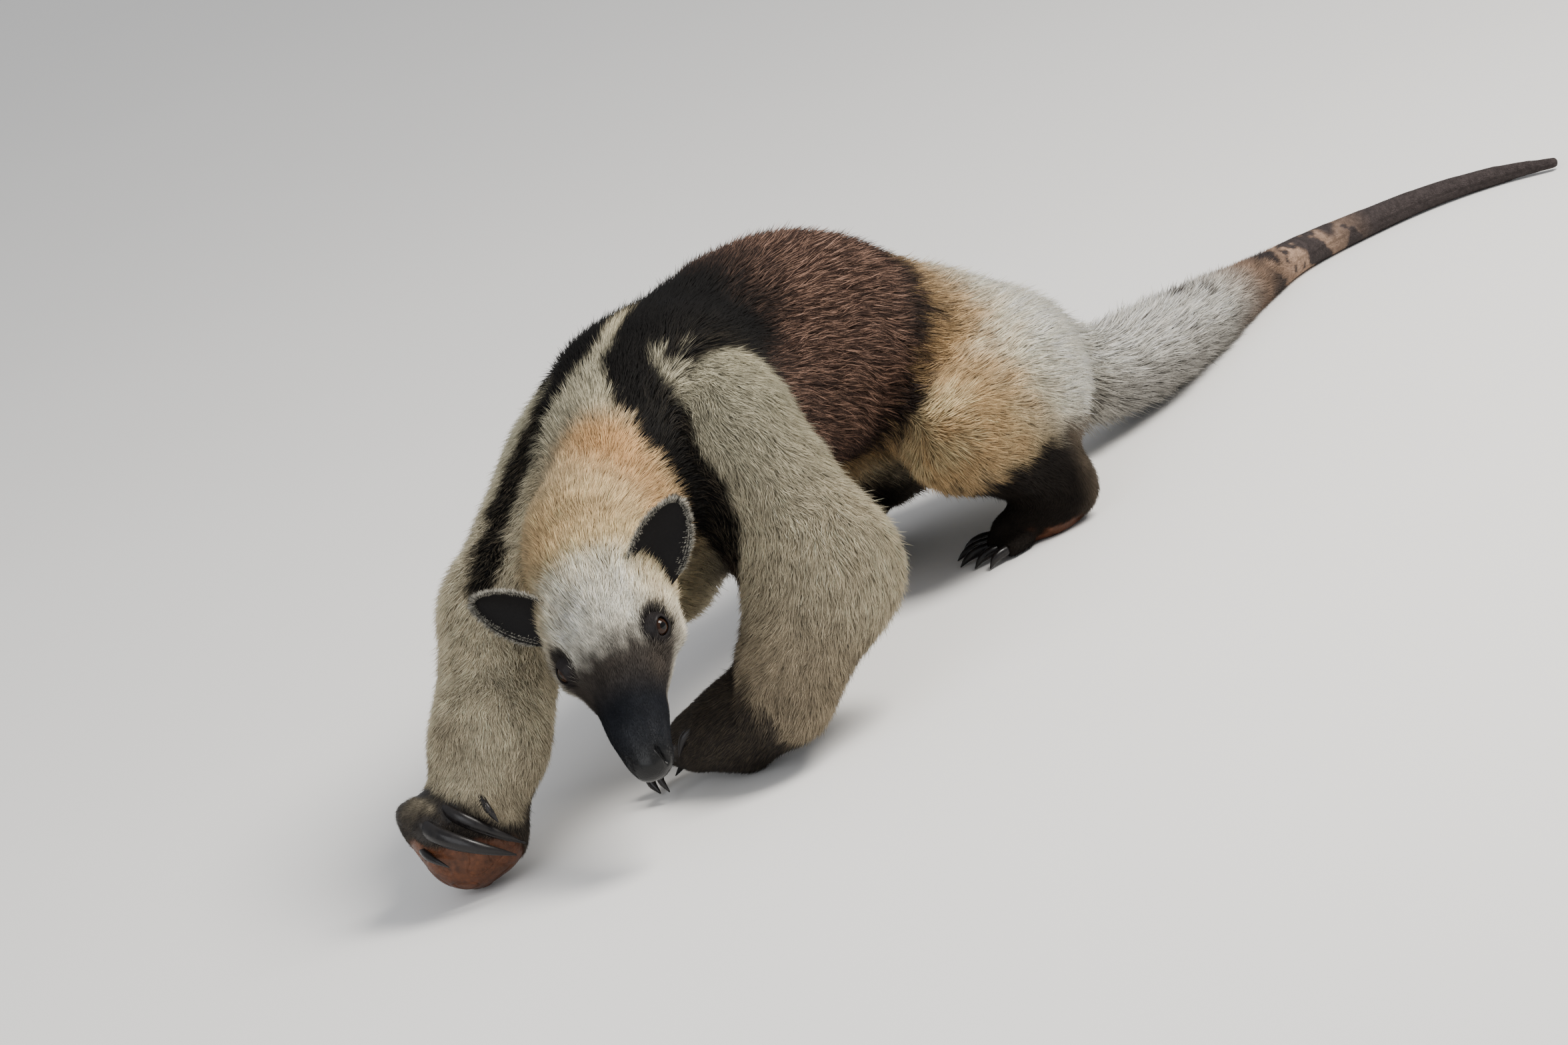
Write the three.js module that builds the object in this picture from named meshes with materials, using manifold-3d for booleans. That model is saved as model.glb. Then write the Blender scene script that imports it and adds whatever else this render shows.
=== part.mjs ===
// A northern tamandua, a small anteater of about 4.5 kg, as a life-size museum model. It stands
// on the floor with its head low, as it would while it searches a bough. Millimetres, +Z up;
// the animal faces -Y and its left side is +X. The solids reach to the tips of its short coat.
// The flesh is one smooth blend of muscle forms, which thin flat cuts part into nodes.
import * as THREE from "three";
import { mergeVertices } from "three/addons/utils/BufferGeometryUtils.js";
import Module from "manifold-3d";

const wasm = await Module();
wasm.setup();

const at = (x, y, z) => new THREE.Vector3(x, y, z);

// Driving dimensions
const PARTING = 0.3; // gap of each cut between two nodes, and round each eye
const CLAW_ROOM = 0.5; // between a claw and the hand that it lies in
const EYE_RADIUS = 5.2;
const EYE_FORWARD = 30; // from the middle of the skull
const EYE_SPREAD = 22.5;
const EYE_HEIGHT = 7;
const LID_LENGTH = 6.8; // half the length of the opening between the lids, at their middle
const LID_HEIGHT = 4.9; // half its height
const SNOUT_REACH = 82; // from the middle of the skull to the root of the nose
const LIP_RADII = [0.6, 1.6, 1.8, 1.6, 0.6];
const MOUTH_RADII = [0.5, 1.0, 1.1, 1.0, 0.5];
const EAR_LENGTH = 42;
const EAR_WIDTH = 27;
const EAR_WALL = 2.2;
const EAR_CUP = 6; // how deep the cup of the ear is
const CLAW_LARGE = 4.6; // root radii of the claws
const CLAW_MIDDLE = 3.5;
const CLAW_SMALL = 2.4;
const TOE_LENGTH = 13;
const TOE_RADIUS = 4.6;
const TOE_CLAW_LENGTH = 17;
const TOE_CLAW_RADIUS = 2.6;

// Size of the facets, by part of the body
const TORSO_CELL = 13.5;
const LIMB_CELL = 11.5;
const FOOT_CELL = 7.4;
const HEAD_CELL = 6.2;
const SHORTEST_EDGE = 0.25;
const GRID_SHIFT = 0.13; // tries of where a grid starts, as shares of its cell
const TAIL_SIDES = 12;
const TAIL_RINGS = 34;
const CLAW_SIDES = 6;
const CLAW_RINGS = 5;

// Places on the body, before the whole is moved to its own origin
const rump = at(-27, 334, 66);
const pelvis = at(-34, 292, 84);
const loin = at(-41, 228, 116);
const ribs = at(-43, 165, 137);
const chest = at(-43, 98, 131);
const brisket = at(-34, 38, 86);
const neckBase = at(-38, 66, 134);
const neckTop = at(-20, -14, 120);
const skull = at(0, -50, 105);
const tailPath = [
  at(-22, 350, 48), at(-15, 385, 34), at(-13, 427, 27), at(-18, 486, 20.5), at(-26, 555, 13),
  at(-24, 610, 9.4), at(-5, 651, 7.5), at(19, 683, 6.5), at(49, 704, 5), at(80, 712, 4),
];
const tailRadii = [28, 25, 25, 20.5, 13.5, 9.5, 7.5, 6.2, 5, 2.6];

// The head's own directions: to the nose, to its crown and to its left
const toNose = at(0.435, -0.62, -0.657).normalize();
const toLeftCheek = new THREE.Vector3().crossVectors(at(0.187, -0.651, 0.739), toNose).normalize();
const toCrown = new THREE.Vector3().crossVectors(toNose, toLeftCheek);

function inHead(forward, left, up) {
  return skull.clone()
    .addScaledVector(toNose, forward)
    .addScaledVector(toLeftCheek, left)
    .addScaledVector(toCrown, up);
}

const between = (a, b, share) => a.clone().lerp(b, share);

// Forms of flesh: each measures how far a point lies outside it, and says how softly it blends
function limb(a, b, radiusA, radiusB, blend) {
  const span = b.clone().sub(a);
  const squared = span.lengthSq();
  return {
    blend,
    measure(x, y, z) {
      const px = x - a.x;
      const py = y - a.y;
      const pz = z - a.z;
      const share = (px * span.x + py * span.y + pz * span.z) / squared;
      const t = Math.min(1, Math.max(0, share));
      const away = Math.hypot(px - t * span.x, py - t * span.y, pz - t * span.z);
      return away - radiusA - t * (radiusB - radiusA);
    },
  };
}

function muscle(centre, along, up, [reach, side, depth], blend) {
  const u = along.clone().normalize();
  const v = new THREE.Vector3().crossVectors(up, u).normalize();
  const w = new THREE.Vector3().crossVectors(u, v);
  return {
    blend,
    measure(x, y, z) {
      const px = x - centre.x;
      const py = y - centre.y;
      const pz = z - centre.z;
      const a = (px * u.x + py * u.y + pz * u.z) / reach;
      const b = (px * v.x + py * v.y + pz * v.z) / side;
      const c = (px * w.x + py * w.y + pz * w.z) / depth;
      const scaled = Math.hypot(a, b, c);
      const slope = Math.hypot(a / reach, b / side, c / depth);
      return slope < 1e-9 ? -Math.min(side, depth) : scaled * (scaled - 1) / slope;
    },
  };
}

const UP = at(0, 0, 1);

const trunkForms = [
  muscle(ribs, at(0, 1, -0.06), UP, [92, 50, 57], 1),
  muscle(chest, at(0.05, -1, 0), UP, [58, 46, 54], 28),
  muscle(loin, at(0.05, 1, -0.35), UP, [70, 46, 49], 34),
  muscle(pelvis, at(0.1, 0.85, -0.5), UP, [54, 42, 42], 34),
  limb(chest, brisket, 34, 28, 20),
  limb(pelvis, rump, 38, 32, 20),
  limb(rump, tailPath[1], 31, 22, 20),
];

const neckForms = [
  limb(neckBase, neckTop, 44, 33, 28),
  limb(neckTop, inHead(-12, 0, -4), 31, 26, 16),
];

const headForms = [
  muscle(inHead(-2, 0, 0), toNose, toCrown, [36, 29, 26], 14),
  ...[1, -1].map((side) => limb(inHead(3, side * 12, -5), inHead(31, side * 14, 0.5), 18, 10.8, 8)),
  limb(inHead(20, 0, 1), inHead(58, 0, -2.5), 20, 13, 10),
  limb(inHead(56, 0, -2.5), inHead(SNOUT_REACH, 0, -6), 13, 9.6, 6),
];

// Each leg is named by its joints; a pair of radii goes with each stretch
const leftArm = {
  shoulder: at(6, 66, 134),
  elbow: at(50, 44, 72),
  wrist: at(42, -5, 35),
  palm: at(14, -7, 23),
  knuckle: at(-10, -10, 19),
};
const rightArm = {
  shoulder: at(-84, 60, 130),
  elbow: at(-82, -18, 96),
  wrist: at(-66, -80, 58),
  palm: at(-73, -110, 23),
  knuckle: at(-88, -117, 36),
};
const leftLeg = {
  hip: at(2, 290, 67),
  knee: at(15, 222, 66),
  ankle: at(32, 268, 24),
  sole: at(24, 258, 12),
  toes: at(9, 243, 9),
};
const rightLeg = {
  hip: at(-70, 290, 67),
  knee: at(-84, 222, 66),
  ankle: at(-98, 268, 24),
  sole: at(-92, 250, 12),
  toes: at(-84, 229, 9),
};

const leftArmForms = [
  muscle(at(-12, 84, 138), at(0.3, -0.5, -1), UP, [52, 28, 36], 24),
  limb(leftArm.shoulder, leftArm.elbow, 34, 34, 18),
  limb(leftArm.elbow, leftArm.wrist, 34, 24, 14),
  limb(leftArm.wrist, leftArm.palm, 22, 21, 10),
  limb(leftArm.palm, leftArm.knuckle, 20, 15, 8),
];
const rightArmForms = [
  muscle(at(-74, 84, 138), at(-0.3, -0.5, -1), UP, [52, 28, 36], 24),
  limb(rightArm.shoulder, rightArm.elbow, 33, 30, 18),
  limb(rightArm.elbow, rightArm.wrist, 30, 26.5, 12),
  limb(rightArm.wrist, between(rightArm.wrist, rightArm.palm, 0.6), 26, 22, 10),
  limb(rightArm.palm, rightArm.palm.clone().add(at(6, 4, 1)), 22.5, 21, 10),
  limb(between(rightArm.palm, rightArm.knuckle, 0.4), rightArm.knuckle, 15, 11, 6),
];

function legForms(leg, outward) {
  return [
    muscle(leg.hip.clone().add(at(outward * 4, -4, -6)), at(outward * 0.15, -0.8, -0.25), UP,
      [48, 34, 42], 26),
    limb(leg.hip, leg.knee, 35, 26, 18),
    limb(leg.knee, leg.ankle, 25, 15, 12),
    limb(leg.ankle.clone().add(at(0, 2, -9)), leg.sole, 13.5, 13, 8),
    limb(leg.sole, leg.toes, 12.5, 10, 6),
  ];
}

const fleshForms = [
  ...trunkForms,
  ...neckForms,
  ...leftArmForms,
  ...rightArmForms,
  ...legForms(leftLeg, 1),
  ...legForms(rightLeg, -1),
  ...headForms,
];

function distanceTo(forms, x, y, z) {
  let nearest = 1e6;
  for (const form of forms) {
    const own = form.measure(x, y, z);
    const overlap = Math.max(form.blend - Math.abs(nearest - own), 0) / form.blend;
    nearest = Math.min(nearest, own) - overlap * overlap * form.blend / 4;
  }
  return nearest;
}

// Closed solids from vertices and triangles
function solidFrom(vertices, triangles) {
  return new wasm.Manifold(new wasm.Mesh({
    numProp: 3,
    vertProperties: new Float32Array(vertices),
    triVerts: new Uint32Array(triangles),
  }));
}

function solidOfGeometry(geometry) {
  geometry.deleteAttribute("normal");
  geometry.deleteAttribute("uv");
  const merged = mergeVertices(geometry, 1e-4);
  return solidFrom(merged.attributes.position.array, merged.index.array);
}

// Facets round the place where the forms' distance is zero, by surface nets on a grid of cells
function skinOf(forms, low, high, cell, shift) {
  const start = low.clone().subScalar(cell * (2 + shift));
  const size = ["x", "y", "z"].map((axis) => Math.ceil((high[axis] - start[axis]) / cell) + 3);
  const [nx, ny, nz] = size;
  const place = (i, j, k) => (k * ny + j) * nx + i;
  const values = new Float32Array(nx * ny * nz).fill(cell / 2);
  for (let k = 1; k < nz - 1; k += 1) {
    for (let j = 1; j < ny - 1; j += 1) {
      for (let i = 1; i < nx - 1; i += 1) {
        values[place(i, j, k)] = distanceTo(
          forms, start.x + i * cell, start.y + j * cell, start.z + k * cell);
      }
    }
  }
  const vertices = [];
  const vertexOf = new Map();
  for (let k = 0; k < nz - 1; k += 1) {
    for (let j = 0; j < ny - 1; j += 1) {
      for (let i = 0; i < nx - 1; i += 1) {
        const point = crossingOf(values, place, i, j, k);
        if (point) {
          vertexOf.set(place(i, j, k), vertices.length / 3);
          point.multiplyScalar(cell).add(start);
          settle(forms, point, cell);
          vertices.push(point.x, point.y, point.z);
        }
      }
    }
  }
  const triangles = facetsOf(values, place, size, vertexOf);
  return solidFrom(vertices, triangles);
}

const CORNERS = [[0, 0, 0], [1, 0, 0], [0, 1, 0], [1, 1, 0], [0, 0, 1], [1, 0, 1], [0, 1, 1],
  [1, 1, 1]];
const EDGES = [[0, 1], [2, 3], [4, 5], [6, 7], [0, 2], [1, 3], [4, 6], [5, 7], [0, 4], [1, 5],
  [2, 6], [3, 7]];

function crossingOf(values, place, i, j, k) {
  const corner = CORNERS.map(([a, b, c]) => values[place(i + a, j + b, k + c)]);
  const total = at(0, 0, 0);
  let count = 0;
  for (const [p, q] of EDGES) {
    if ((corner[p] < 0) !== (corner[q] < 0)) {
      const share = corner[p] / (corner[p] - corner[q]);
      const [a, b] = [CORNERS[p], CORNERS[q]];
      total.x += a[0] + share * (b[0] - a[0]);
      total.y += a[1] + share * (b[1] - a[1]);
      total.z += a[2] + share * (b[2] - a[2]);
      count += 1;
    }
  }
  return count ? total.divideScalar(count).add(at(i, j, k)) : null;
}

// Moves a vertex onto the true surface, but never far enough to fold a facet
function settle(forms, point, cell) {
  const step = cell * 0.05;
  const reach = cell * 0.3;
  for (let round = 0; round < 2; round += 1) {
    const { x, y, z } = point;
    const here = distanceTo(forms, x, y, z);
    if (Math.abs(here) > cell) {
      return;
    }
    const slope = at(
      distanceTo(forms, x + step, y, z) - here,
      distanceTo(forms, x, y + step, z) - here,
      distanceTo(forms, x, y, z + step) - here).divideScalar(step);
    const move = -here / Math.max(slope.lengthSq(), 0.2);
    point.addScaledVector(slope, THREE.MathUtils.clamp(move, -reach, reach));
  }
}

function facetsOf(values, place, [nx, ny, nz], vertexOf) {
  const triangles = [];
  const quad = (a, b, c, d, flip) => {
    const [p, q, r, s] = [a, b, c, d].map((key) => vertexOf.get(key));
    triangles.push(...(flip ? [p, r, q, p, s, r] : [p, q, r, p, r, s]));
  };
  for (let k = 0; k < nz - 1; k += 1) {
    for (let j = 0; j < ny - 1; j += 1) {
      for (let i = 0; i < nx - 1; i += 1) {
        const inside = values[place(i, j, k)] < 0;
        if (inside !== values[place(i + 1, j, k)] < 0) {
          quad(place(i, j - 1, k - 1), place(i, j, k - 1), place(i, j, k), place(i, j - 1, k),
            !inside);
        }
        if (inside !== values[place(i, j + 1, k)] < 0) {
          quad(place(i - 1, j, k - 1), place(i - 1, j, k), place(i, j, k), place(i, j, k - 1),
            !inside);
        }
        if (inside !== values[place(i, j, k + 1)] < 0) {
          quad(place(i - 1, j - 1, k), place(i, j - 1, k), place(i, j, k), place(i - 1, j, k),
            !inside);
        }
      }
    }
  }
  return triangles;
}

// A tube of elliptical rings along a smooth path, closed at both ends
function tube(points, radii, rings, sides, { flatten = 1, up = UP } = {}) {
  const path = new THREE.CatmullRomCurve3(points, false, "centripetal");
  const vertices = [];
  for (let ring = 0; ring <= rings; ring += 1) {
    const share = ring / rings;
    const centre = path.getPoint(share);
    const along = path.getTangent(share);
    const side = new THREE.Vector3().crossVectors(up, along).normalize();
    const top = new THREE.Vector3().crossVectors(along, side);
    const radius = radiusAt(radii, share);
    for (let turn = 0; turn < sides; turn += 1) {
      const angle = turn / sides * Math.PI * 2;
      const p = centre.clone()
        .addScaledVector(side, Math.cos(angle) * radius * flatten)
        .addScaledVector(top, Math.sin(angle) * radius);
      vertices.push(p.x, p.y, p.z);
    }
  }
  return closeRings(vertices, rings, sides, points[0], points[points.length - 1]);
}

function radiusAt(radii, share) {
  const place = share * (radii.length - 1);
  const low = Math.min(Math.floor(place), radii.length - 2);
  return THREE.MathUtils.lerp(radii[low], radii[low + 1], place - low);
}

function closeRings(vertices, rings, sides, first, last) {
  const triangles = [];
  const start = vertices.length / 3;
  vertices.push(first.x, first.y, first.z, last.x, last.y, last.z);
  for (let turn = 0; turn < sides; turn += 1) {
    const next = (turn + 1) % sides;
    for (let ring = 0; ring < rings; ring += 1) {
      const a = ring * sides + turn;
      const b = ring * sides + next;
      triangles.push(a, b, b + sides, a, b + sides, a + sides);
    }
    triangles.push(start, next, turn);
    triangles.push(start + 1, rings * sides + turn, rings * sides + next);
  }
  return solidFrom(vertices, triangles);
}

function ball(centre, radius, cut = 7) {
  const geometry = new THREE.SphereGeometry(radius, cut * 2, cut);
  geometry.translate(centre.x, centre.y, centre.z);
  return solidOfGeometry(geometry);
}

// A block that starts at a parting plane and reaches into the part that it bounds
function block({ from, into, up = UP, reach, wide, high }, grow = 0) {
  const z = into.clone().normalize();
  const x = new THREE.Vector3().crossVectors(up, z).normalize();
  const y = new THREE.Vector3().crossVectors(z, x);
  const geometry = new THREE.BoxGeometry(
    2 * (wide + grow), 2 * (high + grow), reach + 2 * grow);
  geometry.translate(0, 0, reach / 2);
  geometry.applyMatrix4(new THREE.Matrix4().makeBasis(x, y, z).setPosition(from));
  return solidOfGeometry(geometry);
}

const floorBlock = block({ from: at(0, 300, 0), into: at(0, 0, -1), up: at(0, 1, 0), reach: 60,
  wide: 600, high: 700 });

// Ears: a cupped oval blade on a short root, which opens forward and a little outward
function earFrame(side) {
  const along = at(0, 0, 0)
    .addScaledVector(toNose, -0.57)
    .addScaledVector(toLeftCheek, side * 0.78)
    .addScaledVector(toCrown, 0.43)
    .normalize();
  const open = toNose.clone().addScaledVector(toLeftCheek, side * 0.5)
    .addScaledVector(toCrown, 0.75);
  open.addScaledVector(along, -open.dot(along)).normalize();
  const across = new THREE.Vector3().crossVectors(open, along).normalize();
  return { root: inHead(6, side * 22, 4), along, open, across };
}

function earSolid({ root, along, open, across }, grow) {
  const rows = 7;
  const columns = 6;
  const vertices = [];
  for (const wall of [-grow, EAR_WALL + grow]) {
    for (let row = 0; row <= rows; row += 1) {
      const t = row / rows;
      const half = grow + EAR_WIDTH / 2
        * Math.sqrt(Math.max(0.05, Math.sin(Math.PI * (0.14 + 0.84 * t))));
      for (let column = 0; column <= columns; column += 1) {
        const s = column / columns * 2 - 1;
        const cup = EAR_CUP * (1 - s * s) * Math.sin(Math.PI * (0.9 - 0.75 * t));
        const p = root.clone()
          .addScaledVector(along, EAR_LENGTH * t + grow * (2 * t - 1))
          .addScaledVector(across, half * s)
          .addScaledVector(open, -cup - wall * (1 - 0.35 * t));
        vertices.push(p.x, p.y, p.z);
      }
    }
  }
  return closeSheet(vertices, rows, columns);
}

// Joins two sheets of rows and columns along their rim; the second lies behind the first
function closeSheet(vertices, rows, columns) {
  const wide = columns + 1;
  const back = (rows + 1) * wide;
  const triangles = [];
  for (let row = 0; row < rows; row += 1) {
    for (let column = 0; column < columns; column += 1) {
      const a = row * wide + column;
      const b = a + 1;
      const c = a + wide;
      const d = c + 1;
      triangles.push(a, b, d, a, d, c);
      triangles.push(back + a, back + d, back + b, back + a, back + c, back + d);
    }
  }
  const rim = [];
  for (let column = 0; column < columns; column += 1) {
    rim.push(column);
  }
  for (let row = 0; row < rows; row += 1) {
    rim.push(row * wide + columns);
  }
  for (let column = columns; column > 0; column -= 1) {
    rim.push(rows * wide + column);
  }
  for (let row = rows; row > 0; row -= 1) {
    rim.push(row * wide);
  }
  rim.forEach((a, index) => {
    const b = rim[(index + 1) % rim.length];
    triangles.push(a, back + b, b, a, back + a, back + b);
  });
  const solid = solidFrom(vertices, triangles);
  return solid.volume() > 0 ? solid : solidFrom(vertices, flipped(triangles));
}

function flipped(triangles) {
  const turned = [];
  for (let index = 0; index < triangles.length; index += 3) {
    turned.push(triangles[index], triangles[index + 2], triangles[index + 1]);
  }
  return turned;
}

const earFrames = { left: earFrame(1), right: earFrame(-1) };

// Eyes, with the rim of the lids round each
function eyePlace(side) {
  return inHead(EYE_FORWARD, side * EYE_SPREAD, EYE_HEIGHT);
}

function lidRim(side) {
  const outward = at(0, 0, 0)
    .addScaledVector(toLeftCheek, side)
    .addScaledVector(toNose, 0.42)
    .addScaledVector(toCrown, 0.32)
    .normalize();
  const long = toNose.clone().addScaledVector(outward, -toNose.dot(outward)).normalize();
  const tall = new THREE.Vector3().crossVectors(outward, long);
  const rims = [];
  for (const half of [1, -1]) {
    const points = [];
    for (let step = 0; step <= 6; step += 1) {
      const angle = step / 6 * Math.PI;
      points.push(eyePlace(side)
        .addScaledVector(outward, 2.8)
        .addScaledVector(long, Math.cos(angle) * LID_LENGTH)
        .addScaledVector(tall, half * Math.sin(angle) * LID_HEIGHT));
    }
    rims.push(tube(points, [1.1, 1.6, 1.9, 1.6, 1.1], 6, 5, { up: outward }));
  }
  return rims;
}

// Lips and the short mouth at the tip of the snout
function aroundMuzzle(forward, spread, up) {
  return [
    inHead(forward - 17, spread + 0.8, up + 1.6),
    inHead(forward - 8, spread + 0.2, up + 0.6),
    inHead(forward - 1, spread * 0.62, up),
    inHead(forward + 1.5, 0, up - 0.3),
    inHead(forward - 1, -spread * 0.62, up),
    inHead(forward - 8, -spread - 0.2, up + 0.6),
    inHead(forward - 17, -spread - 0.8, up + 1.6),
  ];
}
const upperLip = tube(aroundMuzzle(SNOUT_REACH + 7.2, 8.4, -7.6), LIP_RADII, 10, 5);
const lowerLip = tube(aroundMuzzle(SNOUT_REACH + 5.7, 7.2, -11.4), LIP_RADII, 10, 5);
const mouthLine = tube(aroundMuzzle(SNOUT_REACH + 8.6, 8.9, -9.5), MOUTH_RADII, 10, 5);
const nostrils = [1, -1].map((side) => tube([
  inHead(SNOUT_REACH + 3.4, side * 3.4, -2.6),
  inHead(SNOUT_REACH + 7.9, side * 4.6, -2.4),
  inHead(SNOUT_REACH + 11.4, side * 6.4, -1.6),
], [1.1, 1.6, 1.9], 3, 7));

// Claws: each is a curved horn that narrows to its tip, rooted in its finger
function clawTube(path, radius, grow) {
  const radii = [1, 1, 0.86, 0.62, 0.34, 0.1].map((share) => Math.max(share * radius, 0.35) + grow);
  return tube(path, radii, CLAW_RINGS, CLAW_SIDES, { flatten: 0.72 });
}

const clawPaths = {
  left_hand: [
    [CLAW_SMALL, [at(4, -22, 31), at(-3, -27, 27), at(-7, -30, 20)]],
    [CLAW_MIDDLE, [at(-10, -18, 23), at(-17, -26, 20), at(-20, -32, 12), at(-16, -34, 5)]],
    [CLAW_LARGE, [at(-16, -12, 18), at(-27, -18, 16), at(-33, -23, 8), at(-28, -26, 1.8)]],
    [CLAW_SMALL, [at(-14, -2, 8), at(-25, -4, 7), at(-31, -8, 2.4)]],
  ],
  right_hand: [
    [CLAW_SMALL, [at(-55, -112, 44), at(-49, -117, 40), at(-46, -117, 33)]],
    [CLAW_MIDDLE, [at(-76, -116, 44), at(-62, -122, 39), at(-50, -117, 28), at(-43, -108, 18)]],
    [CLAW_LARGE, [at(-84, -123, 40), at(-69, -131, 35), at(-53, -129, 27), at(-42, -118, 17)]],
    [CLAW_SMALL, [at(-88, -124, 30), at(-78, -133, 27), at(-66, -136, 22)]],
  ],
};

// Toes fan out from the front of each hind foot
function toesOf(leg, inward) {
  const ahead = leg.toes.clone().sub(leg.sole).setZ(0).normalize();
  const aside = at(-ahead.y, ahead.x, 0);
  const toes = [];
  for (let index = -2; index <= 2; index += 1) {
    const fan = ahead.clone().addScaledVector(aside, index * 0.22).normalize();
    const length = TOE_LENGTH * (1 - 0.07 * Math.abs(index));
    const root = leg.toes.clone().setZ(TOE_RADIUS + 0.8).addScaledVector(aside, index * 6.2)
      .addScaledVector(ahead, -1.5 * Math.abs(index));
    const ahead1 = (distance, z) => root.clone().addScaledVector(fan, distance).setZ(z);
    const clawLength = TOE_CLAW_LENGTH * (1 - 0.1 * Math.abs(index + inward));
    const clawPlace = (share, z) => ahead1(length + 0.5 + share * clawLength, z);
    toes.push({
      flesh: tube([ahead1(-6, TOE_RADIUS), root, ahead1(length - 3, 5), ahead1(length, 5)],
        [4, TOE_RADIUS, TOE_RADIUS, 3.4], 3, 6),
      claw: [TOE_CLAW_RADIUS, [clawPlace(0, 5), clawPlace(0.3, 4.9), clawPlace(0.65, 3.6),
        clawPlace(0.95, 0.9)]],
    });
  }
  return toes;
}
const toes = { left_foot: toesOf(leftLeg, 1), right_foot: toesOf(rightLeg, -1) };
for (const [name, list] of Object.entries(toes)) {
  clawPaths[name] = list.map((toe) => toe.claw);
}

// The partings, outermost first: each node takes the flesh in its block that no earlier one took
const direction = (a, b) => b.clone().sub(a).normalize();
const bend = (a, b, c) => direction(a, b).add(direction(b, c)).normalize();

function limbPartings(name, places) {
  return places.map(([node, from, into, cell, reach, wide, high]) => (
    { name: `${node}_${name}`, from, into, cell, reach, wide, high }));
}

const partings = [
  { name: "head", from: at(-9, -31, 113), into: direction(neckTop, skull), cell: HEAD_CELL,
    reach: 175, wide: 40, high: 62 },
  ...limbPartings("left", [
    ["hand", between(leftArm.wrist, leftArm.palm, 0.05), bend(leftArm.elbow, leftArm.wrist,
      leftArm.palm), FOOT_CELL, 90, 48, 48],
    ["forearm", between(leftArm.elbow, leftArm.wrist, 0.03), bend(leftArm.shoulder,
      leftArm.elbow, leftArm.wrist), LIMB_CELL, 120, 62, 62],
    ["upper_arm", at(4, 68, 136), at(0.93, -0.22, -0.3), LIMB_CELL, 120, 66, 92],
  ]),
  ...limbPartings("right", [
    ["hand", between(rightArm.wrist, rightArm.palm, 0.3), bend(rightArm.elbow, rightArm.wrist,
      rightArm.palm), FOOT_CELL, 90, 46, 46],
    ["forearm", between(rightArm.elbow, rightArm.wrist, 0.03), bend(rightArm.shoulder,
      rightArm.elbow, rightArm.wrist), LIMB_CELL, 130, 34, 50],
    ["upper_arm", at(-90, 46, 138), at(-0.62, -0.74, -0.28), LIMB_CELL, 130, 52, 80],
  ]),
  { name: "neck", from: at(-39, 42, 142), into: direction(chest, neckTop), cell: LIMB_CELL,
    reach: 110, wide: 80, high: 80 },
  ...[["left", leftLeg, 1], ["right", rightLeg, -1]].flatMap(([side, leg, outward]) => (
    limbPartings(side, [
      ["foot", between(leg.knee, leg.ankle, 0.86), at(0, 0.25, -1), FOOT_CELL, 50, 45, 70],
      ["shank", between(leg.knee, leg.ankle, 0.12), bend(leg.hip, leg.knee, leg.ankle),
        LIMB_CELL, 90, 44, 62],
      ["thigh", at(-34 + outward * 30, 272, 80), at(outward, 0.1, -0.35), LIMB_CELL, 100, 84, 84],
    ]))),
  { name: "tail_tip", from: at(-25, 590, 9), into: at(0, 1, 0), cell: LIMB_CELL, reach: 200,
    wide: 160, high: 30 },
  { name: "tail_middle", from: at(-16, 462, 15), into: at(0, 1, 0), cell: LIMB_CELL,
    reach: 200, wide: 70, high: 40 },
  { name: "tail_base", from: at(-22, 362, 46), into: at(0.05, 0.85, -0.5), cell: LIMB_CELL,
    reach: 190, wide: 60, high: 60 },
  { name: "torso", from: at(-40, -20, 120), into: at(0, 1, 0), cell: TORSO_CELL, reach: 430,
    wide: 140, high: 140 },
];

const tailTube = tube(tailPath, tailRadii, TAIL_RINGS, TAIL_SIDES);

// Solids that join the flesh before it is parted, and those cut from it, by node
const joined = {
  head: [...lidRim(1), ...lidRim(-1), upperLip, lowerLip],
  tail_tip: [tailTube],
  tail_middle: [tailTube],
  tail_base: [tailTube],
  torso: [tailTube],
  foot_left: toes.left_foot.map((toe) => toe.flesh),
  foot_right: toes.right_foot.map((toe) => toe.flesh),
};
const clawRooms = (paths) => paths.map(([radius, path]) => clawTube(path, radius, CLAW_ROOM));
const hollows = {
  head: [mouthLine, ...nostrils, ball(eyePlace(1), EYE_RADIUS + PARTING),
    ball(eyePlace(-1), EYE_RADIUS + PARTING), earSolid(earFrames.left, PARTING),
    earSolid(earFrames.right, PARTING)],
  hand_left: clawRooms(clawPaths.left_hand),
  hand_right: clawRooms(clawPaths.right_hand),
};

// Nothing of the flesh lies outside these corners
const FLESH_LOW = at(-150, -170, -8);
const FLESH_HIGH = at(110, 440, 240);

function fleshFor({ cell, ...region }, shift) {
  const bounds = block(region, cell).boundingBox();
  const low = at(...bounds.min).max(FLESH_LOW);
  const high = at(...bounds.max).min(FLESH_HIGH);
  return skinOf(fleshForms, low, high, cell, shift);
}

function largest(solid) {
  return solid.decompose().reduce((best, piece) => (
    piece.volume() > best.volume() ? piece : best));
}

function cutOut(parting, taken, shift) {
  let solid = parting.name === "tail_tip" ? tailTube : fleshFor(parting, shift);
  for (const extra of joined[parting.name] ?? []) {
    solid = solid.add(extra);
  }
  solid = solid.intersect(block(parting)).subtract(floorBlock);
  for (const earlier of taken) {
    solid = solid.subtract(earlier);
  }
  for (const hollow of hollows[parting.name] ?? []) {
    solid = solid.subtract(hollow);
  }
  return largest(solid);
}

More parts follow.
